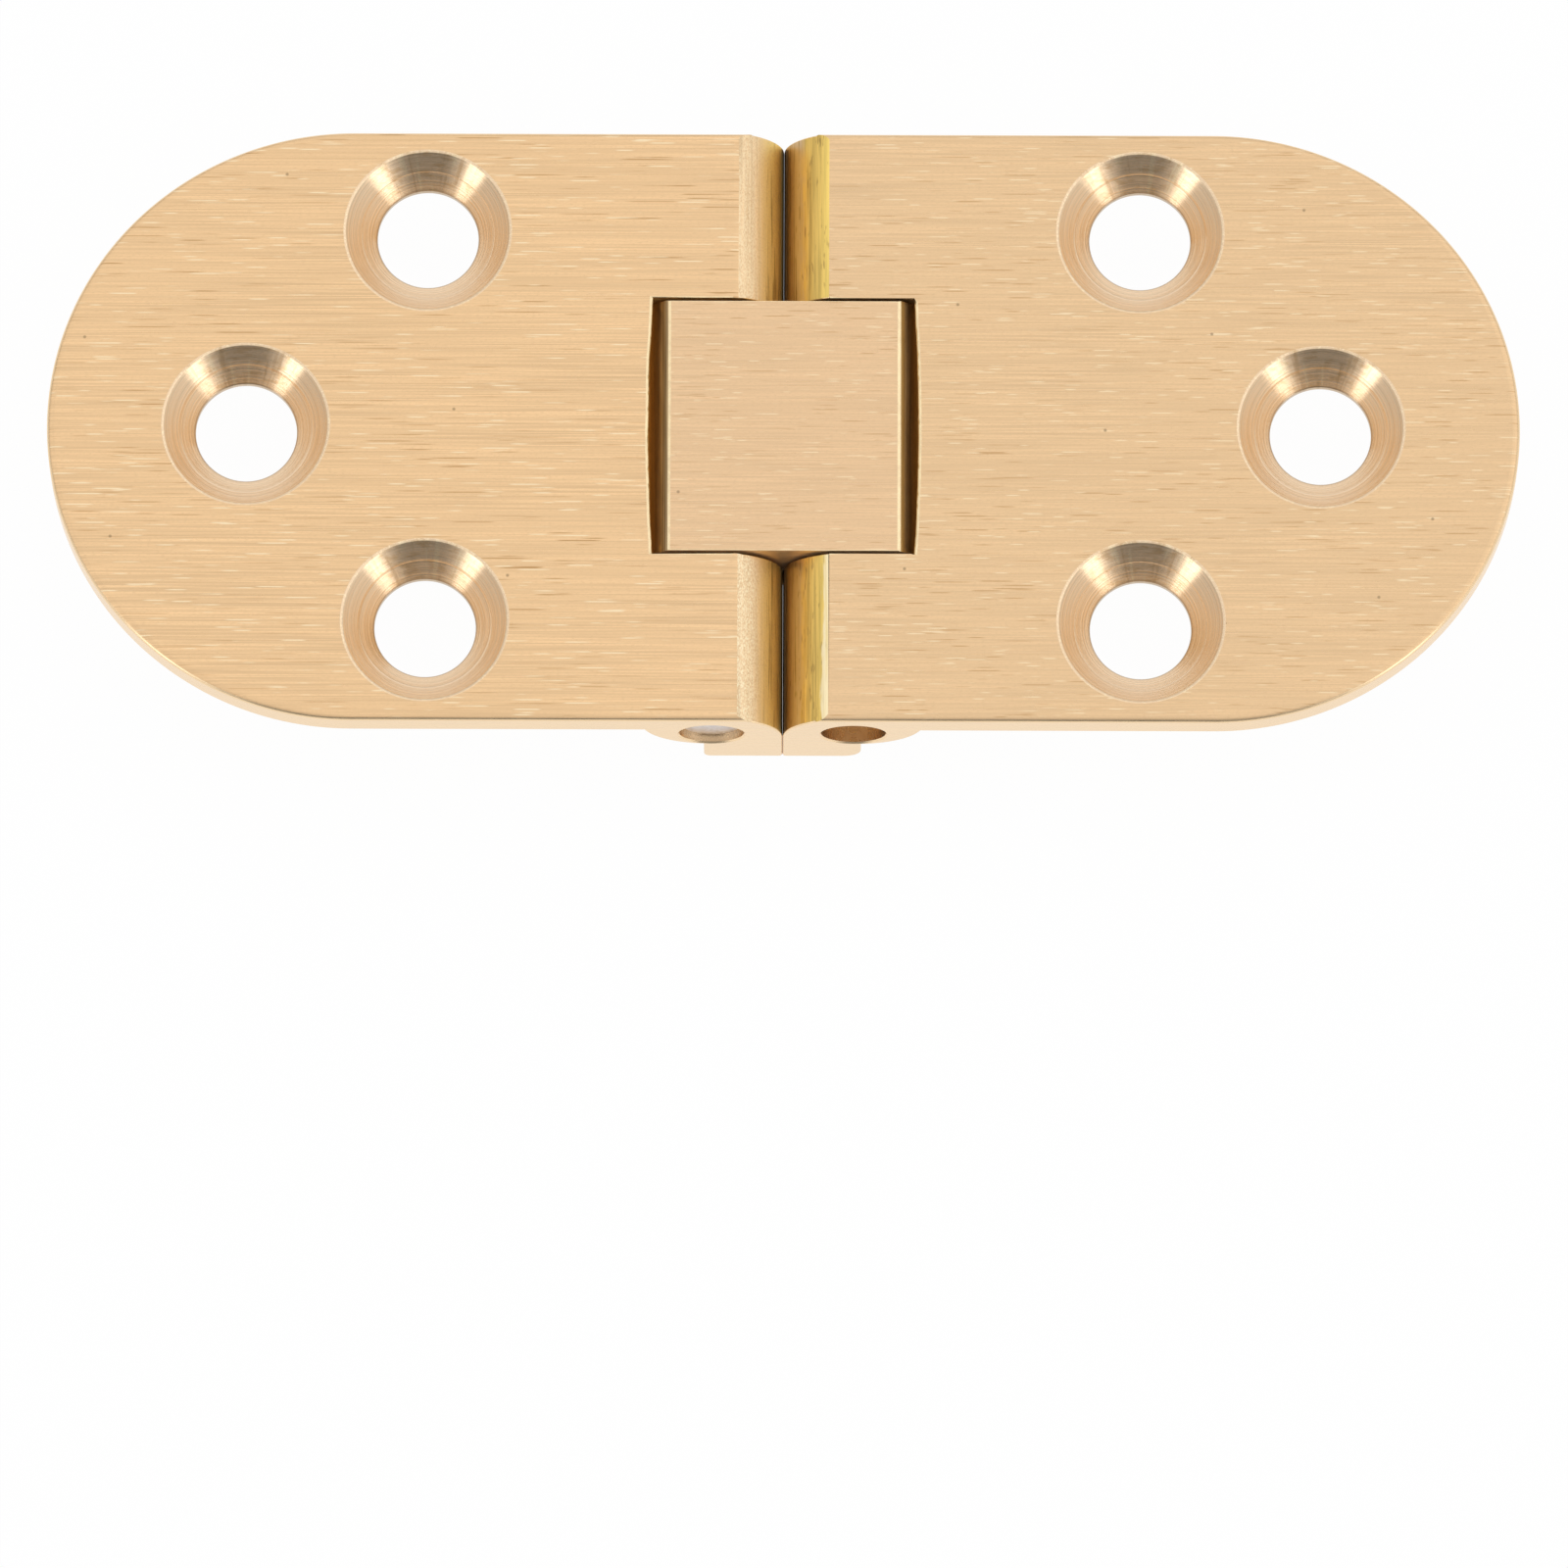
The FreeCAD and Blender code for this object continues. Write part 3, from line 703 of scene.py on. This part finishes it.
def line_noise(along, scale, detail, rough):
    """Noise along one number."""
    inputs = {"W": along, "Scale": scale, "Detail": detail, "Roughness": rough}
    return add(along, "ShaderNodeTexNoise", inputs, noise_dimensions="1D")["Fac"]


def stretched_noise(vector, cells, detail=3.0, rough=0.6):
    """Noise with a cell size along each axis."""
    spread = add(vector, "ShaderNodeMapping", {"Vector": vector, "Scale": [1 / size for size in cells]})
    return add(vector, "ShaderNodeTexNoise", {"Vector": spread["Vector"], "Scale": 1.0, "Detail": detail,
                                              "Roughness": rough})["Fac"]


def between(value, low, high, to_low=0.0, to_high=1.0, smooth=True):
    """Map a value range to another, held at both ends."""
    return add(value, "ShaderNodeMapRange",
               {"Value": value, "From Min": low, "From Max": high, "To Min": to_low, "To Max": to_high},
               interpolation_type="SMOOTHSTEP" if smooth else "LINEAR")["Result"]


def tint(factor, first, second):
    """Colour between two colours; 6, 7 and 2 are a mix node's colour sockets."""
    ends = [end if isinstance(end, bpy.types.NodeSocket) else (*end, 1.0) for end in (first, second)]
    return add(factor, "ShaderNodeMix", {0: factor, 6: ends[0], 7: ends[1]}, data_type="RGBA")[2]


def shade(colour, amount):
    """Colour made lighter or darker by a factor."""
    return tuple(min(1.0, part * amount) for part in colour)


def streaky(marks, low, high, colour, dark, light):
    """Colour that goes from dark to light with the marks."""
    return tint(between(marks, low, high), shade(colour, dark), shade(colour, light))


def layered(body, coats):
    """Colour with (cover, colour) coats laid over it in turn."""
    for cover, colour in coats:
        body = tint(cover, body, colour)
    return body


def to_world(owner, vector):
    """Direction on the object as one in the world."""
    return add(owner, "ShaderNodeVectorTransform", {"Vector": vector}, convert_from="OBJECT",
               convert_to="WORLD")["Vector"]


def bumped(height, strength, distance):
    """Normal raised by a height."""
    return add(height, "ShaderNodeBump",
               {"Height": height, "Strength": strength, "Distance": distance})["Normal"]


# %% [markdown]
# ### The brushed show face
#
# The face was rubbed lengthways on a belt. Close up there are hairlines about a fifteenth of a
# millimetre wide and a few millimetres long. Some are brown scratches; others catch the light as cream
# glints, which are painted highlights, and a slow unevenness lies under them. Each leaf and the link have
# their own depth and length of stroke. Brushed metal spreads its reflection across the strokes, hence the
# anisotropy.

# %% Brushed brass
BRUSHED = {
    "brushed_brass_left_leaf": ((0.85, 0.578, 0.322), 1.0, 1.1, 0.0),
    "brushed_brass_right_leaf": ((0.82, 0.568, 0.326), 0.75, 0.8, 500.0),
    "brushed_brass_centre_link": ((0.82, 0.565, 0.333), 0.65, 0.7, 900.0),
}
STROKE_WIDTH = 0.00006
ROW_SPREAD = 700.0
STROKE_CONTRAST = 0.16
# Painted highlight colour of the glints on the brushed faces and at the countersink rims.
GLINT_CREAM = (0.98, 0.80, 0.53)
SCRATCH = (0.57, 0.34, 0.155)
PIT_SPACING = 0.011


def strokes(parts, length, shift):
    """Noise along x that starts afresh on every row of strokes."""
    row = joined("FLOOR", joined("ADD", joined("DIVIDE", parts["Y"], STROKE_WIDTH), shift))
    start = add(row, "ShaderNodeTexWhiteNoise", {"W": row}, noise_dimensions="1D")["Value"]
    along = joined("ADD", joined("DIVIDE", parts["X"], length), times(start, ROW_SPREAD))
    return line_noise(along, 1.0, 1.5, 0.6)


def brushed(name, colour, depth, length, shift):
    """Brass brushed along x with a depth and a length of stroke."""
    material, shader, place = blank_metal(name)
    parts = split(place)
    hair = strokes(parts, 0.014 * length, shift)
    scratch = strokes(parts, 0.0055 * length, shift + 50.3)
    glint = strokes(parts, 0.0036 * length, shift + 90.7)
    grain = stretched_noise(place, (0.00025, 0.00007, 0.0002), 2.0, 0.7)
    band = stretched_noise(place, (0.03, 0.0008, 0.01), 2.0, 0.5)
    slow = stretched_noise(place, (0.012, 0.006, 0.01), 2.0, 0.5)
    pit = add(place, "ShaderNodeTexVoronoi", {"Vector": place, "Scale": 1 / PIT_SPACING},
              voronoi_dimensions="2D")["Distance"]
    contrast = STROKE_CONTRAST * depth
    worn = times(between(scratch, 0.66, 0.78, 0.0, 0.85 * depth), between(slow, 0.38, 0.62, 0.5, 1.2))
    body = layered(streaky(hair, 0.25, 0.75, colour, 1 - contrast, 1 + contrast), (
        (between(slow, 0.25, 0.75, 0.0, 0.5), shade(colour, 1.02)),
        (between(grain, 0.55, 0.25, 0.0, 0.6), shade(colour, 0.88)),
        (between(band, 0.55, 0.75, 0.0, 0.5 * depth), shade(colour, 0.92)),
        (worn, SCRATCH),
        # Painted highlights: cream glints along some hairlines.
        (between(glint, 0.67, 0.78, 0.0, 0.9 * depth), GLINT_CREAM),
        (between(pit, 0.004, 0.011, 0.65, 0.0), shade(colour, 0.35))))
    wire(shader, {
        "Base Color": body, "Roughness": between(hair, 0.25, 0.75, 0.27, 0.39), "Anisotropic": 0.6,
        "Tangent": to_world(shader, (0, 1, 0)), "Normal": bumped(hair, 0.12, 0.00002)})
    return material


metals = {name: brushed(name, *recipe) for name, recipe in BRUSHED.items()}
print("brushed brass has", len(metals["brushed_brass_left_leaf"].node_tree.nodes), "nodes")

# %% [markdown]
# ### Drawn faces
#
# The bar was pulled through a die, which leaves fine lines on every face that was not worked again: the
# rim, the slot, the underside and the round flanks of the link. They differ in colour, dullness and
# direction. Some colours are painted light: the link's shoulders and the right slot wall are darkened
# as painted shade of their gaps, the link's sides are lightened as painted light, and the burnished
# edges are paled as painted highlights over real burnishing.

# %% Rim, slot, underside and flank
GRAZING_BROWN = (0.78, 0.52, 0.27, 1.0)
ALONG_PIN = (0.00011, 0.006, 0.00011)
ALONG_PIN_LONG = (0.00011, 0.012, 0.00011)
ALONG_PIN_WIDE = (0.00016, 0.006, 0.00016)
ALONG_LEAF = (0.004, 0.0008, 0.00008)
ALL_WAYS = (0.0005, 0.0005, 0.00012)
DRAWN = {
    "milled_edge_brass": ((0.91, 0.68, 0.42), ALONG_LEAF, 0.05, 0.28),
    "slot_wall_brass_left_leaf": ((0.78, 0.54, 0.21), ALL_WAYS, 0.2, 0.5, GRAZING_BROWN),
    # Painted shade: the right slot wall is a darker copy, for the shade in its gap.
    "slot_wall_brass_right_leaf": ((0.52, 0.38, 0.19), ALL_WAYS, 0.2, 0.5, GRAZING_BROWN),
    "underside_brass": ((0.80, 0.55, 0.28), ALONG_PIN_WIDE, 0.08, 0.36),
    "link_flank_brass": ((0.68, 0.49, 0.255), ALONG_PIN, 0.15, 0.36, GRAZING_BROWN),
    # Painted light: the link's sides are lighter than its brass, to lift them in their narrow slits.
    "link_side_brass": ((0.95, 0.72, 0.46), ALONG_LEAF, 0.08, 0.5),
    # Painted shade: the tops of the link's round ends, darkened where they show in the slot gaps, the left
    # much more.
    "left_shoulder_brass": ((0.44, 0.295, 0.145), ALONG_PIN_LONG, 0.7, 0.36),
    "right_shoulder_brass": ((0.58, 0.36, 0.13), ALONG_PIN, 0.15, 0.36),
    # Painted highlight over real burnishing: paler brass on the broken edges.
    "burnished_edge_brass": ((0.96, 0.745, 0.455), ALL_WAYS, 0.12, 0.26),
}


def finish_metal(shader, body, rough, height, strength):
    """Give the shader its colour, roughness and shallow bump."""
    wire(shader, {
        "Base Color": body, "Roughness": between(height, 0.25, 0.75, rough * 0.85, rough * 1.15),
        "Normal": bumped(height, strength, 0.00003)})


def drawn(name, colour, cells, contrast, rough, grazing=None):
    """Brass with die lines, and a tint for what it mirrors at a slant."""
    material, shader, place = blank_metal(name)
    lines = stretched_noise(place, cells)
    body = streaky(lines, 0.28, 0.72, colour, 1 - contrast, 1 + contrast * 0.6)
    finish_metal(shader, body, rough, lines, 0.15)
    if grazing:
        wire(shader, {"Specular Tint": grazing})
    return material


metals.update({name: drawn(name, *recipe) for name, recipe in DRAWN.items()})
print("drawn finishes:", len(DRAWN))

# %% [markdown]
# ### The two noses
#
# The left nose was rubbed with grit; a painted highlight makes it sparkle near the fold, and a painted
# gold reflection of the other nose deepens towards the parting line. The right one still has its yellow
# die skin with dark lines, a painted pale highlight beside the fold, wider at the front, a painted
# lighter yellow towards the fold and painted brown shade towards the parting line. Both carry painted
# shade in the parting line: dark streaks and a dull dark coat. All is placed by the size of x, the
# distance from that line.

# %% Nose finishes
NOSE_SATIN = (0.90, 0.65, 0.38)
# Painted reflection colour of the facing nose.
NOSE_GOLD_REFLECTION = (1.0, 0.78, 0.29)
NOSE_YELLOW = (0.85, 0.58, 0.165)
# Painted shade colour of the right nose by the parting line.
NOSE_BROWN_SHADE = (0.66, 0.48, 0.28)
# Dark brown for the real stains on the right nose and for the painted shade streaks by the parting line.
STREAK_AND_SHADE_BROWN = (0.34, 0.21, 0.07)
# Painted highlight colour for the sparkle near the fold.
SPARKLE_HIGHLIGHT = (1.0, 0.87, 0.61)
# Painted shade where the two noses meet in the parting line.
SEAM_SHADE = (0.08, 0.035, 0.012)
SEAM_SHADE_REACH = (0.00020, 0.00005)
SEAM_SHADE_RISE = 0.00035
# Painted highlight colour for the strip along the fold.
FOLD_HIGHLIGHT = (1.0, 0.85, 0.54)
FOLD_HIGHLIGHT_REACH = (0.00036, -0.0002)
NOSE_LINES = (0.00014, 0.005, 0.00014)


def nose_start(name):
    """Metal, place, distance from the parting line, parts and die lines."""
    material, shader, place = blank_metal(name)
    parts = split(place)
    lines = stretched_noise(place, NOSE_LINES)
    return material, shader, place, joined("ABSOLUTE", parts["X"]), parts, lines


def add_grime(shader, body, from_seam, height, lines, streak_edge):
    """Painted shade of the parting line: dark streaks beside it and, low in it, a dull dark coat."""
    # Painted shade: streaks near the parting line, and a dull dark coat low in it.
    near = between(from_seam, streak_edge, streak_edge * 0.5)
    streak = times(between(lines, 0.52, 0.66, 0.0, 0.8), near)
    above_toe = between(height, NOSE_Z * MM, NOSE_Z * MM + SEAM_SHADE_RISE)
    seam_shade = times(between(from_seam, *SEAM_SHADE_REACH, 0.0, 0.9), above_toe)
    wire(shader, {"Metallic": between(seam_shade, 0.0, 0.8, 1.0, 0.2), "Specular IOR Level": 0.0,
                  "Specular Tint": GRAZING_BROWN})
    return layered(body, ((streak, STREAK_AND_SHADE_BROWN), (seam_shade, SEAM_SHADE)))


def satin_nose_brass(name):
    """Left nose: grit with a painted sparkle highlight by the fold, and a painted gold reflection and painted
    shade by the parting line.
    """
    material, shader, place, from_seam, parts, lines = nose_start(name)
    grit = stretched_noise(place, (0.00006, 0.00014, 0.00006), 2.0, 0.7)
    # Painted highlight: grit sparkle near the fold, stronger at the front.
    near_fold = times(between(from_seam, 0.0010, 0.0019), between(parts["Y"], -0.016, 0.016, 1.0, 0.55))
    body = layered(streaky(lines, 0.3, 0.7, NOSE_SATIN, 0.88, 1.05), (
        # Painted reflection: the gold of the facing nose, deeper towards the parting line.
        (between(from_seam, 0.0016, 0.0005, 0.0, 0.85), NOSE_GOLD_REFLECTION),
        (between(grit, 0.48, 0.32, 0.0, 0.45), shade(NOSE_SATIN, 0.72)),
        (times(between(grit, 0.42, 0.64), near_fold), SPARKLE_HIGHLIGHT)))
    body = add_grime(shader, body, from_seam, parts["Z"], lines, 0.0013)
    finish_metal(shader, body, 0.42, joined("ADD", lines, times(grit, 1.5)), 0.35)
    return material


def yellow_nose_brass(name):
    """Right nose: yellow skin, painted brown shade by the parting line, painted pale highlight by the fold.
    """
    material, shader, place, from_seam, parts, lines = nose_start(name)
    wobble = stretched_noise(place, (0.0002, 0.0012, 0.0002), 2.0)
    stain = stretched_noise(place, (0.00016, 0.0012, 0.00016), 2.0)
    reach = joined("ADD", from_seam, times(wobble, 0.0005))
    # Painted highlight: a pale strip along the fold, wider at the front.
    strip = between(parts["Y"], -HALF_WIDTH * MM, HALF_WIDTH * MM, *FOLD_HIGHLIGHT_REACH, smooth=False)
    fold = NOSE_START * MM + 0.00028
    at_fold = between(joined("ADD", reach, strip), fold - 0.00014, fold + 0.00004)
    body = layered(streaky(lines, 0.32, 0.68, NOSE_YELLOW, 0.72, 1.12), (
        # Painted shade: brown towards the parting line.
        (between(reach, 0.0015, 0.0011), NOSE_BROWN_SHADE),
        # Painted highlight: lighter yellow towards the fold.
        (between(from_seam, 0.0017, 0.0025, 0.0, 0.45), shade(NOSE_YELLOW, 1.35)),
        (between(stain, 0.60, 0.70, 0.0, 0.7), STREAK_AND_SHADE_BROWN),
        (times(at_fold, between(lines, 0.3, 0.6, 0.55, 1.0)), FOLD_HIGHLIGHT)))
    body = add_grime(shader, body, from_seam, parts["Z"], lines, 0.0012)
    finish_metal(shader, body, 0.36, lines, 0.25)
    return material


for make in (satin_nose_brass, yellow_nose_brass):
    metals[make.__name__] = make(make.__name__)
    print(make.__name__, "has", len(metals[make.__name__].node_tree.nodes), "nodes")

# %% [markdown]
# ### Turned countersinks
#
# A countersink is cut by a spinning tool, so its marks are rings about the hole, and a little chatter
# shows as rays. The stored offset gives the radius and the direction. Noise along the radius makes the
# rings, and noise over the direction makes the rays, with no seam. On the far (+y) side of each hole a
# brown mottle and dark rays are painted shade, and pale rays are painted highlights. The cone darkens
# towards the bore as painted shade, and cream specks at the rim are painted glints.

# %% Turned brass
TURNED_BRASS = (0.88, 0.66, 0.44)
# Painted shade colour for the far side of each hole.
FAR_WALL_SHADE = (0.66, 0.42, 0.20)
RIM_WIDTH = 0.2


def turned_brass(name, colour):
    """Brass with rings and chatter about each screw hole, with painted shade and highlights on its far side.
    """
    material, shader, place = blank_metal(name)
    offset = add(shader, "ShaderNodeAttribute", attribute_name="hole_offset")["Vector"]
    flat = add(offset, "ShaderNodeVectorMath", {0: offset, 1: (1, 1, 0)}, operation="MULTIPLY")["Vector"]
    radius = add(flat, "ShaderNodeVectorMath", {0: flat}, operation="LENGTH")["Value"]
    spoke = add(flat, "ShaderNodeVectorMath", {0: flat}, operation="NORMALIZE")["Vector"]
    parts = split(spoke)
    shifted = joined("ADD", radius, split(offset)["Z"])
    rings = line_noise(shifted, 14.0, 3.0, 0.7)
    ray_place = joined_vector(parts["X"], parts["Y"], shifted)
    rays = stretched_noise(ray_place, (0.10, 0.10, 3.0), 2.0)
    far_side = between(parts["Y"], 0.55, 0.85)
    grit = stretched_noise(place, (0.00012, 0.00012, 0.00012), 2.0, 0.7)
    mottle = stretched_noise(place, (0.0009, 0.0003, 0.0003))
    at_rim = between(radius, SCREW_MOUTH - RIM_WIDTH, SCREW_MOUTH, 0.06, 1.0)
    body = layered(streaky(rings, 0.3, 0.7, colour, 0.88, 1.08), (
        # Painted shade and highlights on the far side of each hole: a brown mottle, dark rays and pale rays.
        (times(between(mottle, 0.46, 0.68, 0.0, 0.55), far_side), FAR_WALL_SHADE),
        (times(between(rays, 0.54, 0.70, 0.0, 0.45), far_side), shade(FAR_WALL_SHADE, 0.8)),
        (times(between(rays, 0.44, 0.30, 0.0, 0.35), far_side), shade(colour, 1.3)),
        # Painted glints: cream specks at the rim.
        (times(between(grit, 0.50, 0.64, 0.0, 0.7), at_rim), GLINT_CREAM),
        # Painted shade: the cone darkens towards the bore.
        (between(radius, SCREW_BORE + 0.14, SCREW_BORE + 0.03, 0.0, 0.6), shade(colour, 0.4))))
    wire(shader, {"Anisotropic": 0.5, "Tangent": to_world(shader, spoke)})
    chatter = times(rays, times(far_side, 0.35))
    finish_metal(shader, body, 0.17, joined("ADD", chatter, rings), 0.25)
    return material


metals["turned_countersink_brass"] = turned_brass("turned_countersink_brass", TURNED_BRASS)
print("turned brass has", len(metals["turned_countersink_brass"].node_tree.nodes), "nodes")

# %% [markdown]
# ### Steel pins
#
# Only the ends of the pins show. A cropped rod has a torn face, so the steel is dull and slightly
# mottled.

# %% Pin steel
PIN_STEEL = (0.66, 0.61, 0.59)


def pin_steel(name):
    """Plain drawn steel with a mottled grain."""
    material, shader, place = blank_metal(name)
    grain = stretched_noise(place, (0.0002, 0.0008, 0.0002))
    body = streaky(grain, 0.3, 0.7, PIN_STEEL, 0.85, 1.1)
    finish_metal(shader, body, 0.38, grain, 0.15)
    return material


metals["pin_steel"] = pin_steel("pin_steel")
print("metals:", len(metals))

# %% [markdown]
# ## Putting the pieces in place
#
# The left leaf is turned half round about z, a plain rotation, so nothing turns inside out. Weighted
# normals keep the flat faces flat up to their rounded edges. The meshes are then shrunk to metres, and
# every piece replaces its CAD solid and rides on the same body.

# %% Finish, place and ride
SMOOTH_DEG = 38.0
BODY_OF = {"left_leaf": "left_leaf", "left_pin": "left_leaf", "centre_link": "link",
           "right_leaf": "right_leaf", "right_pin": "right_leaf"}
FLAT_WEIGHT = 60
FLAT_THRESHOLD = 1e-5
FINISHES = {
    "centre_link": ("brushed_brass_centre_link", "link_flank_brass", "link_side_brass", "left_shoulder_brass",
                    "right_shoulder_brass", "burnished_edge_brass"),
    "left_pin": ("pin_steel",),
    "right_pin": ("pin_steel",),
}
for name, nose in (("left_leaf", "satin_nose_brass"), ("right_leaf", "yellow_nose_brass")):
    FINISHES[name] = ("brushed_brass_" + name, nose, "turned_countersink_brass", "milled_edge_brass",
                      "slot_wall_brass_" + name, "underside_brass", "burnished_edge_brass")


def settle(piece, node, turn_deg=0.0):
    """Turn, shrink and smooth a piece, and let it replace its CAD node."""
    mesh = piece.data
    mesh.transform(Matrix.Rotation(math.radians(turn_deg), 4, "Z"))
    mesh.shade_smooth()
    mesh.set_sharp_from_angle(angle=math.radians(SMOOTH_DEG))
    weighted = piece.modifiers.new("flat_faces", "WEIGHTED_NORMAL")
    weighted.keep_sharp = True
    weighted.weight = FLAT_WEIGHT
    weighted.thresh = FLAT_THRESHOLD
    frozen(piece, node + "_mesh").transform(Matrix.Scale(MM, 4))
    piece.name = "dressed_" + node
    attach(piece, BODY_OF[node])
    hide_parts(node)
    print(piece.name, "has", len(piece.data.polygons), "faces and rides on", BODY_OF[node])


pieces = {**leaves, "centre_link": centre_link, **pins}
for name, piece in pieces.items():
    for place, finish in enumerate(FINISHES[name]):
        piece.data.materials[place] = metals[finish]
    settle(piece, name, 180.0 if name == "left_leaf" else 0.0)

# %% [markdown]
# ## The studio
#
# Metal shows its surroundings, so the light is drawn as surroundings: a white dome that dims towards
# the horizon and is a little brighter on the right, a white floor, a dark card in front and two bright
# panels beside it, for the countersinks and the rim to mirror. The floor glows a little, so the
# background stays white.

# %% Dome, floor, card and panels
DOME_LEVELS = ((0, 0.58), (14, 0.74), (26, 0.94), (38, 1.10), (50, 1.06), (70, 1.0))
DOME_LEAN = 0.12
FLOOR_RADIUS = 4.0
FLOOR_DEPTH = 0.01
FLOOR_GLOW = 0.97
CARD_DISTANCE = 1.3
PANEL_CORE = 0.45
PANEL_ROWS = 9
PANEL_COLUMNS = 13
PANELS = {
    "dark_card": (0.0, 84.0, 1.0, 64.0, (22, 0.22), (60, 1.0)),
    "left_panel": (-50.0, 22.0, 2.0, 34.0, (18, 2.3), (32, 1.0)),
    "right_panel": (50.0, 22.0, 2.0, 34.0, (18, 2.3), (32, 1.0)),
}


def make_dome():
    """World light that follows the height and leans to the right."""
    world = bpy.data.worlds.new("white_dome")
    world.use_nodes = True
    tree = world.node_tree
    parts = split(add(tree, "ShaderNodeTexCoord")["Generated"])
    ramp = add(tree, "ShaderNodeValToRGB", {"Fac": parts["Z"]})["Color"]
    stops = ramp.node.color_ramp.elements
    for height_deg, level in DOME_LEVELS[1:-1]:
        stops.new(math.sin(math.radians(height_deg)))
    for stop, (height_deg, level) in zip(stops, DOME_LEVELS):
        stop.position = math.sin(math.radians(height_deg))
        stop.color = (level, level, level, 1.0)
    lean = joined("ADD", times(parts["X"], DOME_LEAN), 1.0)
    wire(tree.nodes["Background"], {"Color": ramp, "Strength": lean})
    return world


def bare_material(name):
    """New material with an empty tree."""
    material = bpy.data.materials.new(name)
    material.use_nodes = True
    material.node_tree.nodes.clear()
    return material, material.node_tree


def add_glow(cover, under, strength=1.0):
    """Lay a white glow over another shader by a share."""
    glow = add(cover, "ShaderNodeEmission", {"Color": (1, 1, 1, 1.0), "Strength": strength})
    mix = add(cover, "ShaderNodeMixShader", {0: cover, 1: under["BSDF"], 2: glow["Emission"]})
    add(cover, "ShaderNodeOutputMaterial", {"Surface": mix["Shader"]})


def make_floor():
    """White disc under the feet that still takes a shadow."""
    mesh = prism("floor", arc((0, 0), FLOOR_RADIUS, 0, 360, ROUND_STEPS)[:-1], -FLOOR_DEPTH, 0.0, "z")
    floor = add_object("floor", mesh)
    material, tree = bare_material("white_floor")
    path = add(tree, "ShaderNodeLightPath")
    seen = joined("MAXIMUM", path["Is Camera Ray"], path["Is Glossy Ray"])
    seen = joined("MAXIMUM", seen, path["Is Transmission Ray"])
    paint = add(tree, "ShaderNodeBsdfDiffuse", {"Color": (0.9, 0.9, 0.9, 1.0)})
    add_glow(times(seen, FLOOR_GLOW), paint)
    mesh.materials.append(material)


def panel_glow(name, azimuth_deg, width_deg, low, high):
    """Glow that fades at the sides and between two (degrees, strength) marks."""
    material, tree = bare_material(name)
    parts = split(add(tree, "ShaderNodeTexCoord")["Object"])
    levels = [CARD_DISTANCE * math.sin(math.radians(angle)) for angle, strength in (low, high)]
    strength = between(parts["Z"], *levels, low[1], high[1])
    heading = joined("ARCTAN2", parts["X"], times(parts["Y"], -1.0))
    aside = joined("ABSOLUTE", joined("SUBTRACT", heading, math.radians(azimuth_deg)))
    half = math.radians(width_deg / 2)
    cover = between(aside, half * PANEL_CORE, half, 1.0, 0.0)
    add_glow(cover, add(tree, "ShaderNodeBsdfTransparent"), strength)
    return material


def make_panel(name, azimuth_deg, width_deg, low_deg, high_deg, low, high):
    """Upright curved panel at these angles from the hinge; 0 is in front."""
    work = bmesh.new()
    turns = np.radians(np.linspace(azimuth_deg - width_deg / 2, azimuth_deg + width_deg / 2, PANEL_COLUMNS))
    rows = []
    for height in np.radians(np.linspace(low_deg, high_deg, PANEL_ROWS)):
        flat, level = CARD_DISTANCE * math.cos(height), CARD_DISTANCE * math.sin(height)
        rows.append([work.verts.new((flat * math.sin(a), -flat * math.cos(a), level)) for a in turns])
    for lower, upper in zip(rows, rows[1:]):
        for here in range(len(lower) - 1):
            work.faces.new((lower[here], lower[here + 1], upper[here + 1], upper[here]))
    panel = add_object(name, mesh_from(name, work))
    panel.data.materials.append(panel_glow(name + "_glow", azimuth_deg, width_deg, low, high))
    panel.visible_camera = False


scene.world = make_dome()
make_floor()
for name, marks in PANELS.items():
    make_panel(name, *marks)
print("studio:", list(PANELS))

# %% [markdown]
# ## The camera
#
# The hinge is seen from above and a little from the front through a long lens. The tilt, the distance
# and the focal length were fitted to the outline and the holes.

# %% Camera
IMAGE = 1600
FOCAL_PIXELS = 19880.0
VIEW_TILT_DEG = 16.24
ROLL_DEG = 0.18
DISTANCE = 1.058
MARK = (799.4, 434.1)
SENSOR = 36.0

camera_data = bpy.data.cameras.new("camera")
camera_data.sensor_width = SENSOR
camera_data.lens = SENSOR * FOCAL_PIXELS / IMAGE
camera_data.clip_end = 50.0
camera = add_object("camera", camera_data)
aside, above = (MARK[0] - IMAGE / 2) / FOCAL_PIXELS, (IMAGE / 2 - MARK[1]) / FOCAL_PIXELS
tilt = Matrix.Rotation(math.radians(VIEW_TILT_DEG) - math.atan(above), 3, "X")
turn = tilt @ Matrix.Rotation(math.radians(ROLL_DEG), 3, "Z")
sight = turn @ Vector((aside, above, -1.0)).normalized()
camera.matrix_world = Matrix.Translation(Vector((0, 0, TOP * MM)) - DISTANCE * sight) @ turn.to_4x4()
scene.camera = camera
print("camera at", [round(value, 4) for value in camera.matrix_world.translation])

# %% [markdown]
# ## Last step
#
# The dressed hinge has to be the size of the CAD model. At the end the view layer is brought up to date.

# %% Final update
bpy.context.view_layer.update()
